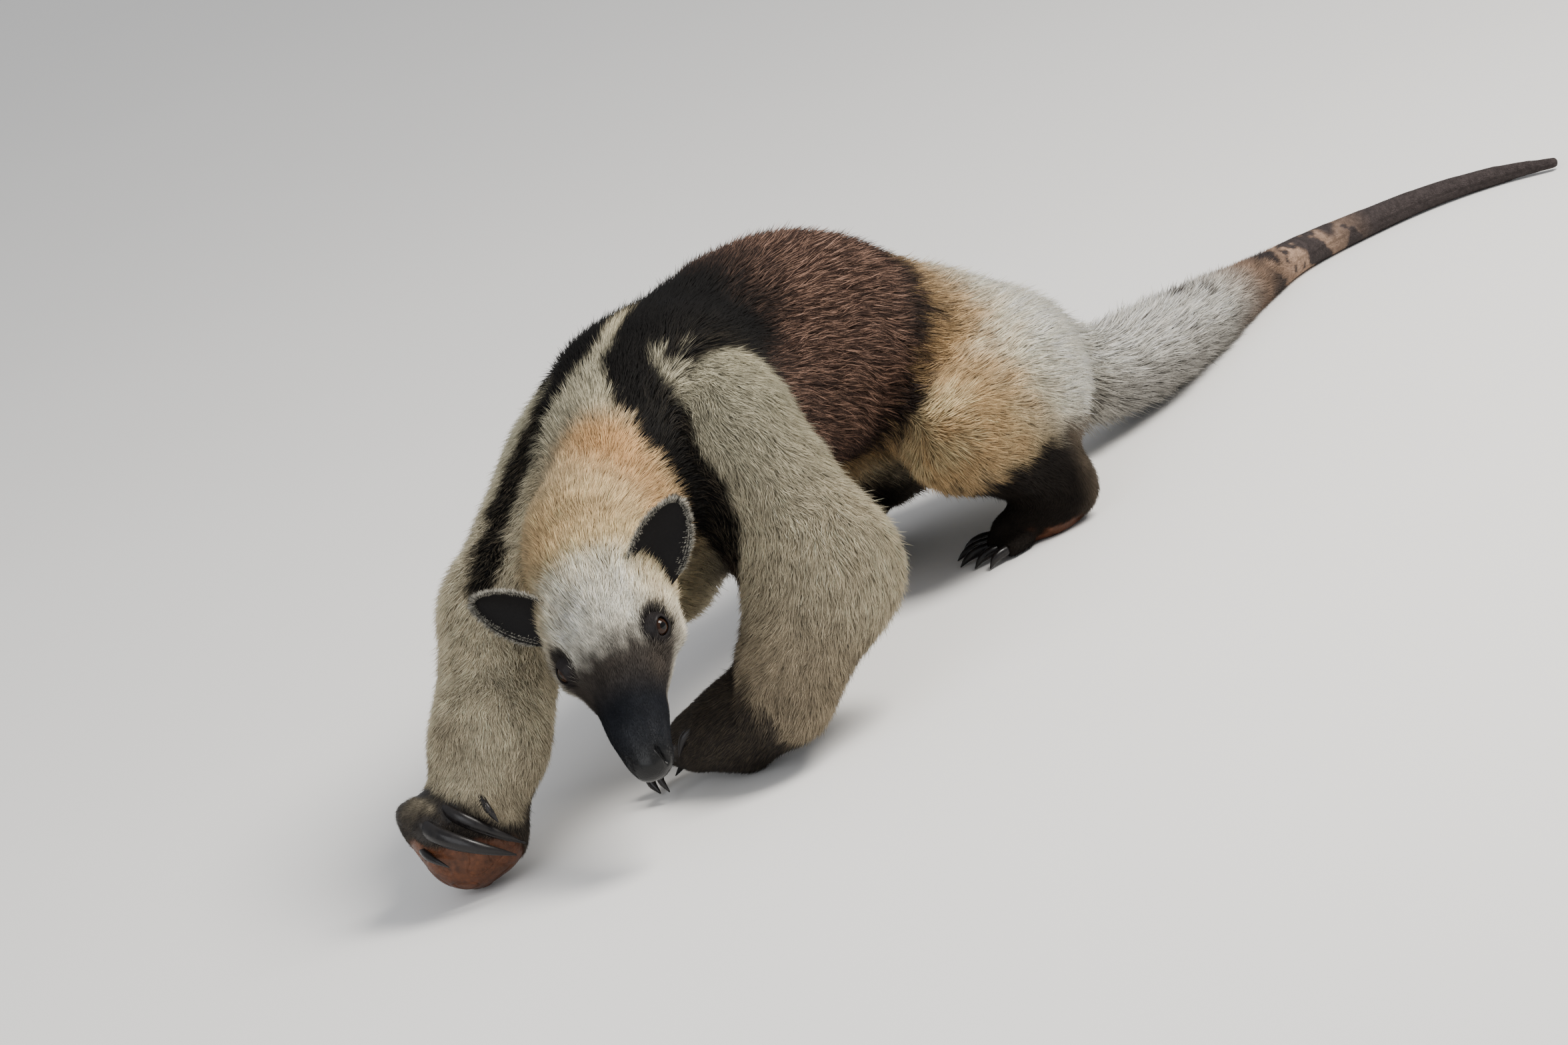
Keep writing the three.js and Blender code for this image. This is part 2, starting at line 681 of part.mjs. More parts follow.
// Where two walls of flesh all but touch, the grid can join them at a point or an edge
function touchesItself({ vertProperties }) {
  const places = new Set();
  for (let index = 0; index < vertProperties.length; index += 3) {
    places.add([...vertProperties.subarray(index, index + 3)].map((n) => n.toFixed(2)).join());
  }
  return places.size < vertProperties.length / 3;
}

function meshFor(parting, taken) {
  for (let shift = 0; shift < 1; shift += GRID_SHIFT) {
    const mesh = withoutSplinters(cutOut(parting, taken, shift).getMesh(), SHORTEST_EDGE);
    if (!touchesItself(mesh)) {
      return mesh;
    }
  }
  throw new Error(`${parting.name} touches itself wherever its grid starts`);
}

const meshes = {};
const taken = [];
for (const parting of partings) {
  meshes[parting.name] = meshFor(parting, taken);
  taken.push(block(parting, PARTING));
}

meshes.ear_left = earSolid(earFrames.left, 0).getMesh();
meshes.ear_right = earSolid(earFrames.right, 0).getMesh();
meshes.eye_left = ball(eyePlace(1), EYE_RADIUS).getMesh();
meshes.eye_right = ball(eyePlace(-1), EYE_RADIUS).getMesh();
const ordinals = ["first", "second", "third", "fourth", "fifth"];
for (const [host, claws] of Object.entries(clawPaths)) {
  claws.forEach(([radius, path], index) => {
    const claw = clawTube(path, radius, 0).subtract(floorBlock);
    meshes[`claw_${host}_${ordinals[index]}`] = claw.getMesh();
  });
}

// Draws together the ends of edges shorter than the given length, where the surface stays whole
function withoutSplinters({ vertProperties, triVerts }, shortest) {
  const point = (v) => at(...vertProperties.subarray(3 * v, 3 * v + 3));
  const faces = [];
  for (let index = 0; index < triVerts.length; index += 3) {
    faces.push([...triVerts.subarray(index, index + 3)]);
  }
  const around = Array.from({ length: vertProperties.length / 3 }, () => new Set());
  faces.forEach((face, index) => face.forEach((v) => around[v].add(index)));
  const neighbours = (v) => new Set([...around[v]].flatMap((index) => faces[index]));
  const merge = (gone, kept) => {
    const shared = [...neighbours(gone)].filter((v) => neighbours(kept).has(v)).length;
    if (shared !== 4 || point(gone).distanceTo(point(kept)) > shortest) {
      return false;
    }
    for (const index of around[gone]) {
      if (faces[index].includes(kept)) {
        faces[index].forEach((v) => v !== gone && around[v].delete(index));
        faces[index] = null;
      } else {
        faces[index][faces[index].indexOf(gone)] = kept;
        around[kept].add(index);
      }
    }
    around[gone].clear();
    return true;
  };
  for (let index = 0; index < faces.length; index += 1) {
    for (let side = 0; side < 3 && faces[index]; side += 1) {
      const face = faces[index];
      side = merge(face[side], face[(side + 1) % 3]) ? -1 : side;
    }
  }
  return solidFrom(vertProperties, faces.filter(Boolean).flat()).getMesh();
}

// Colours by part, as the coat and skin show them
const finishes = {
  cream: { color: 0xd8c7a0, roughness: 0.9 },
  black: { color: 0x2b2420, roughness: 0.85 },
  grey: { color: 0x8f867a, roughness: 0.9 },
  dark: { color: 0x3a322d, roughness: 0.85 },
  eye: { color: 0x1a0f0a, roughness: 0.1 },
  claw: { color: 0x1c1a1c, roughness: 0.35 },
  tail: { color: 0xb49a80, roughness: 0.7 },
};
function finishOf(name) {
  const rules = [[/^eye/, "eye"], [/^claw/, "claw"], [/^(ear|hand|foot)/, "dark"],
    [/^torso/, "black"], [/^(forearm|shank)/, "grey"], [/^tail_(middle|tip)/, "tail"]];
  const rule = rules.find(([pattern]) => pattern.test(name));
  return finishes[rule ? rule[1] : "cream"];
}

// The scene graph: each node's geometry lies round its own place
const model = new THREE.Group();
for (const [name, { vertProperties, triVerts }] of Object.entries(meshes)) {
  const geometry = new THREE.BufferGeometry();
  geometry.setAttribute("position", new THREE.BufferAttribute(vertProperties, 3));
  geometry.setIndex(new THREE.BufferAttribute(triVerts, 1));
  geometry.computeBoundingBox();
  const place = geometry.boundingBox.getCenter(at(0, 0, 0));
  geometry.translate(-place.x, -place.y, -place.z);
  const mesh = new THREE.Mesh(geometry, new THREE.MeshStandardMaterial(finishOf(name)));
  mesh.name = name;
  mesh.position.copy(place);
  model.add(mesh);
}

// The origin is the middle of the whole model's underside
const extent = new THREE.Box3().setFromObject(model);
const middle = extent.getCenter(at(0, 0, 0));
model.position.set(-middle.x, -middle.y, -extent.min.z);

export default model;
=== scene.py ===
import bmesh
import bpy
import numpy as np
from mathutils import Matrix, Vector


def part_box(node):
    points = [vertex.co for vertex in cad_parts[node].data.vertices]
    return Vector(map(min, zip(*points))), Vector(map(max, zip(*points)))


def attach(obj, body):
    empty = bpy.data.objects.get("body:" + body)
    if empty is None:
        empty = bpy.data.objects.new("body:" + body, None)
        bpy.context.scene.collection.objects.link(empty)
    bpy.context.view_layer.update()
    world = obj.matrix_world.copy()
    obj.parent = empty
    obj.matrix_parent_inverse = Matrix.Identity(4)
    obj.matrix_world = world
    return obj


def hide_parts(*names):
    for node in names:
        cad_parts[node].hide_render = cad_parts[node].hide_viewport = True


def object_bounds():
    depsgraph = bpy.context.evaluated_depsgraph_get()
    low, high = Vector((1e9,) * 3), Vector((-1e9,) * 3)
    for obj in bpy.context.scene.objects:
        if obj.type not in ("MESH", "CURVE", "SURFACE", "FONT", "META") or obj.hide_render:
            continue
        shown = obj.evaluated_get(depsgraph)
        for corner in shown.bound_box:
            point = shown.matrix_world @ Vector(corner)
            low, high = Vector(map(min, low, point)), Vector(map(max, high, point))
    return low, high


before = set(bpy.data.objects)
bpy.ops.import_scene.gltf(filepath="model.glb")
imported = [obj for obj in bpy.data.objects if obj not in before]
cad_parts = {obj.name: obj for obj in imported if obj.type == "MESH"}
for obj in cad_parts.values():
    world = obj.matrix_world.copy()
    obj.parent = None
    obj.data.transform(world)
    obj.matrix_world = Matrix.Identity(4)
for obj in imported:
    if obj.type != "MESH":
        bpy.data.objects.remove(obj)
cad_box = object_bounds()

MM = 0.001
chance = np.random.default_rng(11)


def vec(*numbers):
    return np.array(numbers, float)


def units(vectors):
    return vectors / np.maximum(np.linalg.norm(vectors, axis=-1, keepdims=True), 1e-9)


def rise(low, high, value):
    """From 0 at low to 1 at high, with soft ends"""
    share = np.clip((value - low) / (high - low), 0, 1)
    return share * share * (3 - 2 * share)


def mix(a, b, share):
    return a + (b - a) * share


# Places on the body

TO_NOSE = units(vec(0.435, -0.62, -0.657))
TO_LEFT = units(np.cross(vec(0.187, -0.651, 0.739), TO_NOSE))
TO_CROWN = np.cross(TO_NOSE, TO_LEFT)
HEAD_AXES = np.stack([TO_NOSE, TO_LEFT, TO_CROWN])
UP = vec(0, 0, 1)
EYE_RADIUS = 5.2
EYE_IN_HEAD = vec(30, 22.5, 7)
SKULL_AS_DRAWN = vec(0, -50, 105)
BOX_LOW, BOX_HIGH = (np.array(corner) / MM for corner in cad_box)
BOX_LOW[2] += 0.05
LEFT_EYE_LOW, LEFT_EYE_HIGH = (np.array(corner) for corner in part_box("eye_left"))
SKULL = (LEFT_EYE_LOW + LEFT_EYE_HIGH) / 2 / MM - EYE_IN_HEAD @ HEAD_AXES


def at(x, y, z):
    """A place by the measures of the part's drawing"""
    return SKULL + vec(x, y, z) - SKULL_AS_DRAWN


def drawn_y(y):
    return at(0, y, 0)[1]


def in_head(forward, left, up):
    return SKULL + vec(forward, left, up) @ HEAD_AXES


def in_face(forward, left, up):
    """The same for the muzzle, which is turned a little to the right"""
    return in_head(forward, left - 2 * rise(38, 62, forward), up)


def from_place(points, place):
    return np.linalg.norm(points - place, axis=1)


def from_eyes(points):
    return np.minimum(*(from_place(points, eye_place(side)) for side in (1, -1)))


def along_run(points, start, end):
    """How far along a straight run points lie, from 0 to 1, and what parts them from it"""
    run = end - start
    way = np.clip((points - start) @ run / (run @ run), 0, 1)
    return way, points - start - way[:, None] * run


def head_measures(points):
    return ((points - SKULL) @ HEAD_AXES.T).T


def eye_place(side):
    return in_head(*(EYE_IN_HEAD * vec(1, side, 1)))


# Colours of the coat and the bare skin, as light reflected of 1

BLACK = vec(0.0045, 0.0038, 0.0034)
BROWN_BLACK = vec(0.036, 0.019, 0.014)
# light brown tips of the vest's hairs, brightened as painted glints of light
BROWN_TIP_AND_GLINT = vec(0.64, 0.38, 0.27)
TAN = vec(0.58, 0.34, 0.15)
CREAM = vec(0.62, 0.48, 0.27)
WHITE = vec(0.75, 0.71, 0.60)
SHOULDER_CREAM = vec(0.50, 0.46, 0.33)
ARM_CREAM = vec(0.62, 0.54, 0.38)
GRIZZLED = vec(0.38, 0.31, 0.21)
GOLD = vec(0.42, 0.27, 0.13)
HAND_GREY = vec(0.036, 0.030, 0.026)
FOOT_BLACK = vec(0.011, 0.008, 0.006)
SHANK_BROWN = vec(0.11, 0.085, 0.060)
SNOUT_GREY = vec(0.007, 0.008, 0.011)
SNOUT_BROWN = vec(0.050, 0.041, 0.034)
NOSE_BLACK = vec(0.003, 0.003, 0.003)
TAIL_WHITE = vec(0.72, 0.69, 0.62)
TAIL_SKIN = vec(0.30, 0.20, 0.14)
TAIL_DARK = vec(0.040, 0.032, 0.031)
PAD_BROWN = vec(0.088, 0.031, 0.013)
LID_GREY = vec(0.013, 0.010, 0.010)
EAR_BLACK = vec(0.004, 0.0035, 0.0035)


class Bone:
    """A stretch of the body: its line and girth, and the hair that grows along it"""

    def __init__(self, region, start, end, girth, hair, colours, stand=20, lie=None):
        self.region = region
        self.start = start
        self.end = end
        self.girth = girth
        self.hair = hair
        self.colours = colours
        self.stand = stand
        self.lie = units(end - start if lie is None else lie)


def along_path(region, points, girths, hairs, colours, **more):
    return [
        Bone(region, points[i], points[i + 1], girths[i:i + 2], hairs[i:i + 2],
             colours[i:i + 2], **more)
        for i in range(len(points) - 1)
    ]


LEFT_ARM = [at(6, 66, 134), at(50, 44, 72), at(42, -5, 35), at(14, -7, 23), at(-10, -10, 19)]
RIGHT_ARM = [at(-84, 60, 130), at(-82, -18, 96), at(-66, -80, 58), at(-70, -98, 38),
             at(-73, -110, 23), at(-88, -117, 36)]
LEFT_LEG = [at(2, 290, 67), at(15, 222, 66), at(32, 268, 24), at(24, 258, 12), at(9, 243, 9)]
RIGHT_LEG = [at(-70, 290, 67), at(-84, 222, 66), at(-98, 268, 24), at(-92, 250, 12),
             at(-84, 229, 9)]
TAIL = [at(-27, 334, 66), at(-22, 350, 48), at(-15, 385, 34), at(-13, 427, 27),
        at(-18, 486, 20.5), at(-26, 555, 13), at(-24, 610, 9.4), at(-5, 651, 7.5),
        at(19, 683, 6.5), at(49, 704, 5), at(80, 712, 4)]
TAIL_GIRTHS = [31, 28, 25, 25, 20.5, 13.5, 9.5, 7.5, 6.2, 5, 2.6]
TAIL_HAIRS = [14, 15, 16, 14, 12, 5, 1.4, 0.9, 0.8, 0.7, 0.5]
TAIL_COLOURS = [WHITE, WHITE, TAIL_WHITE, TAIL_WHITE, TAIL_WHITE, TAIL_SKIN, TAIL_SKIN,
                TAIL_DARK, TAIL_DARK, TAIL_DARK, TAIL_DARK]
LEFT_ARM_COLOURS = [SHOULDER_CREAM, ARM_CREAM, GRIZZLED, HAND_GREY, HAND_GREY]
RIGHT_ARM_COLOURS = [SHOULDER_CREAM, ARM_CREAM, ARM_CREAM, ARM_CREAM, GRIZZLED, HAND_GREY]
THIGH_LIE = vec(0.05, 0.8, -0.5)
SPINE = [at(-38, 66, 134), at(-43, 165, 137), at(-41, 228, 116), at(-34, 292, 84),
         at(-27, 334, 66)]

BONES = [
    Bone("head", in_head(95, 0, -6), in_head(60, 0, -3), (10, 13), (0.75, 1.5),
         (NOSE_BLACK, SNOUT_GREY), stand=13),
    Bone("head", in_head(60, 0, -3), in_head(38, 0, 0), (13, 19), (1.5, 2.8),
         (SNOUT_GREY, SNOUT_BROWN), stand=15),
    Bone("head", in_head(38, 0, 0), in_head(-12, 0, -2), (19, 28), (3.6, 6.5), (WHITE, CREAM)),
    Bone("neck", in_head(-16, 0, -4), at(-38, 66, 134), (29, 44), (7, 9),
         (CREAM, SHOULDER_CREAM)),
    *along_path("trunk", SPINE, (45, 52, 47, 42, 33), (9, 11, 12, 13, 14),
                (SHOULDER_CREAM, CREAM, GOLD, CREAM, WHITE), stand=20),
    *along_path("tail", TAIL, TAIL_GIRTHS, TAIL_HAIRS, TAIL_COLOURS, stand=24),
    *along_path("arm_left", LEFT_ARM, (33, 32, 23, 20, 14), (9, 9, 6, 3.6, 1.8),
                LEFT_ARM_COLOURS, stand=22),
    *along_path("arm_right", RIGHT_ARM, (33, 29, 26, 23, 20, 12), (9, 9, 6, 4.5, 2.0, 1.5),
                RIGHT_ARM_COLOURS, stand=22),
]
for name, leg in (("left", LEFT_LEG), ("right", RIGHT_LEG)):
    BONES += along_path(f"leg_{name}", leg[:2], (35, 26), (12, 9), (WHITE, CREAM),
                        lie=THIGH_LIE)
    BONES += along_path(f"leg_{name}", leg[1:], (25, 15, 13, 10), (8, 4.5, 2.6, 1.6),
                        (CREAM, FOOT_BLACK, FOOT_BLACK, FOOT_BLACK))
BONE_REGIONS = np.array([bone.region for bone in BONES])
BONE_SOFTNESS = 5.0


class Ground:
    """What the bones say at each of many points: whose stretch it is, hair and flesh colour"""

    def __init__(self, points):
        self.points = points
        gaps = []
        ways = []
        for bone in BONES:
            way, off = along_run(points, bone.start, bone.end)
            gaps.append(np.linalg.norm(off, axis=1) - mix(*bone.girth, way))
            ways.append(way)
        gaps = np.stack(gaps, axis=1)
        near = np.exp((gaps.min(axis=1, keepdims=True) - gaps) / BONE_SOFTNESS)
        self.shares = near / near.sum(axis=1, keepdims=True)
        self.ways = np.stack(ways, axis=1)

    def blend(self, ends):
        """The bones' values, each from its start to its end, mixed by their shares"""
        total = 0
        for index, bone in enumerate(BONES):
            start, end = ends(bone)
            value = mix(*(np.atleast_1d(v) for v in (start, end)), self.ways[:, index, None])
            total = total + self.shares[:, index, None] * value
        return total

    def hair(self):
        return self.blend(lambda bone: bone.hair)[:, 0]

    def share_of(self, *regions):
        return self.shares[:, np.isin(BONE_REGIONS, regions)].sum(axis=1)


def wobble(points, size, seed):
    """A smooth random field from about -1 to 1 whose waves are about as long as size"""
    waves = np.random.default_rng(seed)
    directions = units(waves.normal(size=(9, 3))) * 2 * np.pi / size
    directions *= waves.uniform(0.6, 1.6, size=(9, 1))
    phases = waves.uniform(0, 2 * np.pi, 9)
    return np.sin(points @ directions.T + phases).sum(axis=1) / 3


def from_line(points, line, widths):
    """How far points lie outside a bent line that is widths[i] thick at its corner i"""
    best = np.full(len(points), 1e9)
    for start, end, wide, wide_end in zip(line, line[1:], widths, widths[1:]):
        way, off = along_run(points, start, end)
        best = np.minimum(best, np.linalg.norm(off, axis=1) - mix(wide, wide_end, way))
    return best


# Markings: the black vest with its two straps, the mask of the face and the tail's blotches

LEFT_STRAP = [at(-47, 90, 192), at(-32, 60, 183), at(-10, 36, 165), at(8, 25, 146),
              at(15, 23, 128), at(17, 21, 109), at(14, 25, 88)]
LEFT_STRAP_WIDTHS = [10, 12, 13, 12.5, 12, 11, 8]
RIGHT_STRAP = [at(-62, 92, 192), at(-69, 61, 180), at(-81, 44, 164), at(-85, 19, 147),
               at(-80, -11, 132), at(-74, -38, 118)]
RIGHT_STRAP_WIDTHS = [10, 10, 10, 10, 9, 7]
NAPE_WEDGE = [at(-49, 38, 176), at(-48, 68, 187), at(-56, 108, 193)]
NAPE_WEDGE_WIDTHS = [9, 5, 1.5]
NAPE_WEDGE_SPAN = drawn_y(16), drawn_y(40)
VEST_FRONT = [at(-2, 60, 178), at(22, 62, 166), at(36, 58, 150), at(48, 58, 133), at(58, 65, 115)]
# the vest's back edge and the front of its brown part, each by y at a height and by its slope
VEST_BACK, VEST_BACK_HEIGHT, VEST_BACK_SLOPE = drawn_y(204), 75, 0.9
BROWN_FRONT, BROWN_FRONT_HEIGHT, BROWN_FRONT_SLOPE = drawn_y(112), 144, 1.4
RUMP_FROM, RUMP_SPAN = drawn_y(245), 60
SHANK_FROM = 47
HEEL_SPAN = drawn_y(258), drawn_y(276)
RIGHT_WRIST_SPAN = drawn_y(-60), drawn_y(-80)
MASK_FROM, CHEEK_REACH = 36, 26
LEFT_WRIST = at(41, -14, 38), units(at(14, -7, 23) - at(46, -5, 40))
PAD_RIGHT = at(-70, -122, 14)
# where the fur and the dark fingers of the raised right hand end, by how far left they are
FUR_END = [at(-89, 0, 45), at(-74, 0, 47), at(-62, 0, 45), at(-53, 0, 39), at(-46, 0, 28)]
PAD_TOP = [at(-84, 0, 35), at(-78, 0, 30), at(-59, 0, 30), at(-49, 0, 26), at(-46, 0, 21)]
TAIL_YS = [place[1] for place in TAIL]
TAIL_ZS = [place[2] for place in TAIL]
TAIL_BARE_FROM = drawn_y(556)
TAIL_BANDS = [(at(-15, 474, 40), 7), (at(-9, 492, 36), 6), (at(-26, 577, 20), 9),
              (at(-22, 604, 15), 6), (at(-17, 628, 14), 7)]


def paint(colour, mask, new):
    return mix(colour, new, np.clip(mask, 0, 1)[:, None])


def markings(ground, stray=0.0):
    """The colour of the coat, or of the skin where it is bare, at each point. Stray is how far
    the hair there goes with the far side of an edge between two colours."""
    points = ground.points
    ragged = 2.2 * wobble(points, 9, 3) + 2.5 * wobble(points, 31, 4) + stray
    colour = ground.blend(lambda bone: bone.colours)
    colour = mark_rump(colour, ground)
    colour = mark_arms(colour, ground, ragged)
    colour, black = mark_vest(colour, ground, ragged)
    colour = mark_nape(colour, ground, black)
    colour = mark_face(colour, ground, stray)
    colour = mark_shanks(colour, ground, ragged)
    colour = mark_tail(colour, ground, ragged)
    mottling = 1 + 0.14 * wobble(points, 12, 14) + 0.1 * wobble(points, 3, 17)
    return paint(colour, bare_pad(points), PAD_BROWN * mottling[:, None])


def mark_rump(colour, ground):
    behind = ground.share_of("trunk", "neck") + ground.share_of("leg_left", "leg_right")
    rump = rise(RUMP_FROM, RUMP_FROM + RUMP_SPAN, ground.points[:, 1]) * behind
    return paint(colour, rump * 0.85, WHITE)


def mark_arms(colour, ground, ragged):
    """The hands turn dark at the wrist, and the arms are greyer low down and inside"""
    points = ground.points
    y, z = points[:, 1], points[:, 2]
    left_hand = rise(-5, 5, from_plane(points, LEFT_WRIST) + 1.4 * ragged)
    left_hand = left_hand * ground.share_of("arm_left") * rise(120, 90, z)
    right_hand = rise(4, -4, z - height_over(FUR_END, points) + 0.6 * ragged)
    right_hand = right_hand * ground.share_of("arm_right") * rise(*RIGHT_WRIST_SPAN, y)
    colour = paint(colour, left_hand + right_hand, HAND_GREY)
    colour = paint(colour, on_fingers(points), FOOT_BLACK)
    arms = ground.share_of("arm_left", "arm_right")
    inner = arms * rise(2, 26, wobble(points, 40, 6) * 12 + 14 - 0.4 * (z - 40))
    return paint(colour, 0.35 * inner * rise(0.2, 0.5, colour[:, 0]), GRIZZLED)


def mark_vest(colour, ground, ragged):
    """The vest with its straps and the golden band behind it, and also where they are black"""
    points = ground.points
    trunk = ground.share_of("trunk", "neck")
    legs = ground.share_of("leg_left", "leg_right")
    behind = points[:, 1] - (vest_back(points[:, 2]) + 3 * ragged)
    golden_band = rise(-6, 8, behind) * (1 - rise(12, 64, behind)) * (trunk + legs)
    colour = paint(colour, 0.8 * golden_band, GOLD)
    uneven = rise(-30, -70, points[:, 0]) * (14 * wobble(points, 60, 20) - 5)
    front = rise(-5, 6, behind_line(VEST_FRONT, points) + 1.5 * ragged + uneven)
    vest = front * rise(0.28, 0.5, trunk + 0.3 * legs) * (1 - rise(-12, 16, behind))
    straps = np.maximum(*(
        1 - rise(-2.5, 2.5, from_line(points, *strap) + 0.5 * ragged)
        for strap in ((LEFT_STRAP, LEFT_STRAP_WIDTHS), (RIGHT_STRAP, RIGHT_STRAP_WIDTHS))))
    wedge = 1 - rise(-2, 2, from_line(points, NAPE_WEDGE, NAPE_WEDGE_WIDTHS) + 0.3 * ragged)
    vest_colour = paint(np.tile(BLACK, (len(points), 1)), browning(points), BROWN_BLACK)
    vest_colour = paint(vest_colour, rise(-12, 12, behind), 0.5 * GOLD)
    black = np.maximum(vest, straps) * (1 - wedge * rise(*NAPE_WEDGE_SPAN, points[:, 1]))
    return mix(colour, vest_colour, np.clip(black, 0, 1)[:, None]), black


def mark_nape(colour, ground, black):
    """Tan in the middle, cream beside the straps and behind the head"""
    points = ground.points
    forward, left, _ = head_measures(points)
    nape = ground.share_of("neck", "head") * (1 - black) * rise(-8, -34, forward)
    nape = nape * (1 - rise(*NAPE_WEDGE_SPAN, points[:, 1]))
    golden = rise(-0.9, 0.6, wobble(points, 120, 5)) * (1 - rise(14, 44, np.abs(left - 8)))
    return paint(colour, nape * (0.3 + 0.7 * golden) * rise(90, 130, points[:, 2]), TAN)


def mark_face(colour, ground, stray):
    """A white forehead, greying into the dark snout, and a ring round each eye"""
    points = ground.points
    forward, left, up = head_measures(points)
    head = ground.share_of("head")
    forehead = (1 - rise(15, 27, np.abs(left))) * rise(-16, -4, forward) * rise(4, 12, up)
    colour = paint(colour, head * forehead, WHITE)
    mask_edge = MASK_FROM + CHEEK_REACH * rise(0, -8, up) + 1.6 * wobble(points, 7, 8) + 0.8 * stray
    greying = head * rise(-16, 4, forward - mask_edge)
    colour = paint(colour, 0.75 * greying, SNOUT_BROWN * 1.6)
    snout = rise(-4, 5, forward - mask_edge)
    snout_colour = mix(SNOUT_BROWN, SNOUT_GREY, rise(38, 62, forward)[:, None])
    snout_colour = paint(snout_colour, rise(74, 88, forward), NOSE_BLACK)
    colour = mix(colour, snout_colour, (head * snout)[:, None])
    for side in (1, -1):
        ring = 1 - rise(0.86, 1.14, round_eye(points, side) + 0.04 * wobble(points, 6, 9)
                        + 0.05 * stray)
        link = [in_face(36, 20 * side, 5), in_face(45, 16.5 * side, 2)]
        link = 1 - rise(-2, 4, from_line(points, link, (4, 4)) + stray)
        colour = paint(colour, head * link * rise(6, 12, left * side), SNOUT_BROWN)
        colour = paint(colour, head * ring * rise(8, 14, left * side), LID_GREY)
    return colour


def mark_shanks(colour, ground, ragged):
    """They darken downwards, least at the back of the heel"""
    y, z = ground.points[:, 1], ground.points[:, 2]
    legs = ground.share_of("leg_left", "leg_right")
    low = legs * (1 - rise(-5, 6, z - SHANK_FROM + 1.2 * ragged))
    heel = mix(FOOT_BLACK, SHANK_BROWN, rise(*HEEL_SPAN, y)[:, None])
    return mix(colour, heel, low[:, None])


def mark_tail(colour, ground, ragged):
    """Dark blotches, and tan skin where the hair ends"""
    points = ground.points
    y, z = points[:, 1], points[:, 2]
    tail = ground.share_of("tail")
    bare = rise(TAIL_BARE_FROM - 10, TAIL_BARE_FROM + 25, y)
    blotch = rise(0.1, 0.35, wobble(points, 26, 12) + 0.3 * wobble(points, 7, 13)) * bare
    for place, size in TAIL_BANDS:
        blotch = np.maximum(blotch, 1 - rise(-2, 2, from_place(points, place) - size
                                             - ragged * 0.5))
    below = rise(6, -10, z - np.interp(y, TAIL_YS, TAIL_ZS)) * (1 - bare)
    colour = paint(colour, tail * 0.5 * below, HAND_GREY * 2)
    return paint(colour, tail * blotch, TAIL_DARK)


def on_fingers(points):
    """Where the bare dark fingers of the hands lie, from their claws back"""
    best = np.zeros(len(points))
    for claws in HAND_CLAWS.values():
        for radius, path in claws[1:3]:
            root, ahead = at(*path[0]), at(*path[1])
            way = units(ahead - root)
            gap = from_line(points, [root - way * 9, root + way * 9], (radius + 2.5, radius + 2))
            best = np.maximum(best, 1 - rise(-1.5, 2.5, gap))
    return best


def vest_back(z):
    return VEST_BACK + VEST_BACK_SLOPE * (z - VEST_BACK_HEIGHT)


def browning(points):
    """Where the vest is brown instead of black: from behind the shoulder, less at its back edge"""
    y, z = points[:, 1], points[:, 2]
    front = BROWN_FRONT + BROWN_FRONT_SLOPE * (z - BROWN_FRONT_HEIGHT) + 8 * wobble(points, 45, 19)
    return rise(-42, 30, y - front) * (1 - 0.75 * rise(-42, -14, y - vest_back(z)))


def round_eye(points, side):
    """1 on the edge of the bare ring round an eye, less inside it"""
    forward, left, up = head_measures(points)
    return np.sqrt(((forward - 29) / 9.8) ** 2 + ((left * side - 22) / 7.4) ** 2
                   + ((up - 7.5) / 7.6) ** 2)


def from_plane(points, plane):
    place, way = plane
    return (points - place) @ way


def behind_line(places, points):
    """How far behind a line of places points are, by y at their height"""
    order = np.argsort([place[2] for place in places])
    heights, ys = (np.array([places[i][axis] for i in order]) for axis in (2, 1))
    return points[:, 1] - np.interp(points[:, 2], heights, ys)


def height_over(places, points):
    """The height of a line of places over where points are, by x"""
    xs, heights = (np.array([place[axis] for place in places]) for axis in (0, 2))
    return np.interp(points[:, 0], xs, heights)


def bare_pad(points):
    """The pad of the raised right hand and the soles, which no hair covers"""
    z = points[:, 2]
    top = height_over(PAD_TOP, points) + 0.8 * wobble(points, 10, 15)
    palm = 1 - rise(-1, 2.5, from_place(points, PAD_RIGHT) - 27)
    palm = palm * rise(-1.5, 1.5, top - z)
    heels = 0.0
    for leg in (LEFT_LEG, RIGHT_LEG):
        low = 1 - rise(4.5, 7.5, z + 1.5 * wobble(points, 9, 16))
        heels = heels + low * (1 - rise(15, 20, from_place(points, leg[3])))
    return np.clip(palm + heels, 0, 1)


# Meshes from arrays


def placed(name, data):
    made = bpy.data.objects.new(name, data)
    bpy.context.scene.collection.objects.link(made)
    return made


def piece_from(name, points, faces, material, replaces=()):
    """A mesh piece from points in millimetres and faces that all have as many corners"""
    faces = np.asarray(faces, np.int32)
    mesh = bpy.data.meshes.new(name)
    mesh.vertices.add(len(points))
    mesh.vertices.foreach_set("co", (np.asarray(points) * MM).astype(np.float32).ravel())
    mesh.loops.add(faces.size)
    mesh.loops.foreach_set("vertex_index", faces.ravel())
    mesh.polygons.add(len(faces))
    starts = np.arange(0, faces.size, faces.shape[1], dtype=np.int32)
    mesh.polygons.foreach_set("loop_start", starts)
    mesh.update(calc_edges=True)
    mesh.polygons.foreach_set("use_smooth", np.ones(len(faces), bool))
    return dress(placed(name, mesh), material, replaces)


def dress(piece, material, replaces=()):
    piece.data.materials.clear()
    piece.data.materials.append(material)
    if replaces:
        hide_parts(*replaces)
    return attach(piece, "root")


def give(mesh, name, kind, key, values):
    layer = mesh.attributes.new(name, kind, "POINT")
    layer.data.foreach_set(key, np.asarray(values, np.float32).ravel())


def give_colours(mesh, colours):
    rgba = np.ones((len(colours), 4), np.float32)
    rgba[:, :3] = colours
    give(mesh, "shade", "FLOAT_COLOR", "color", rgba)


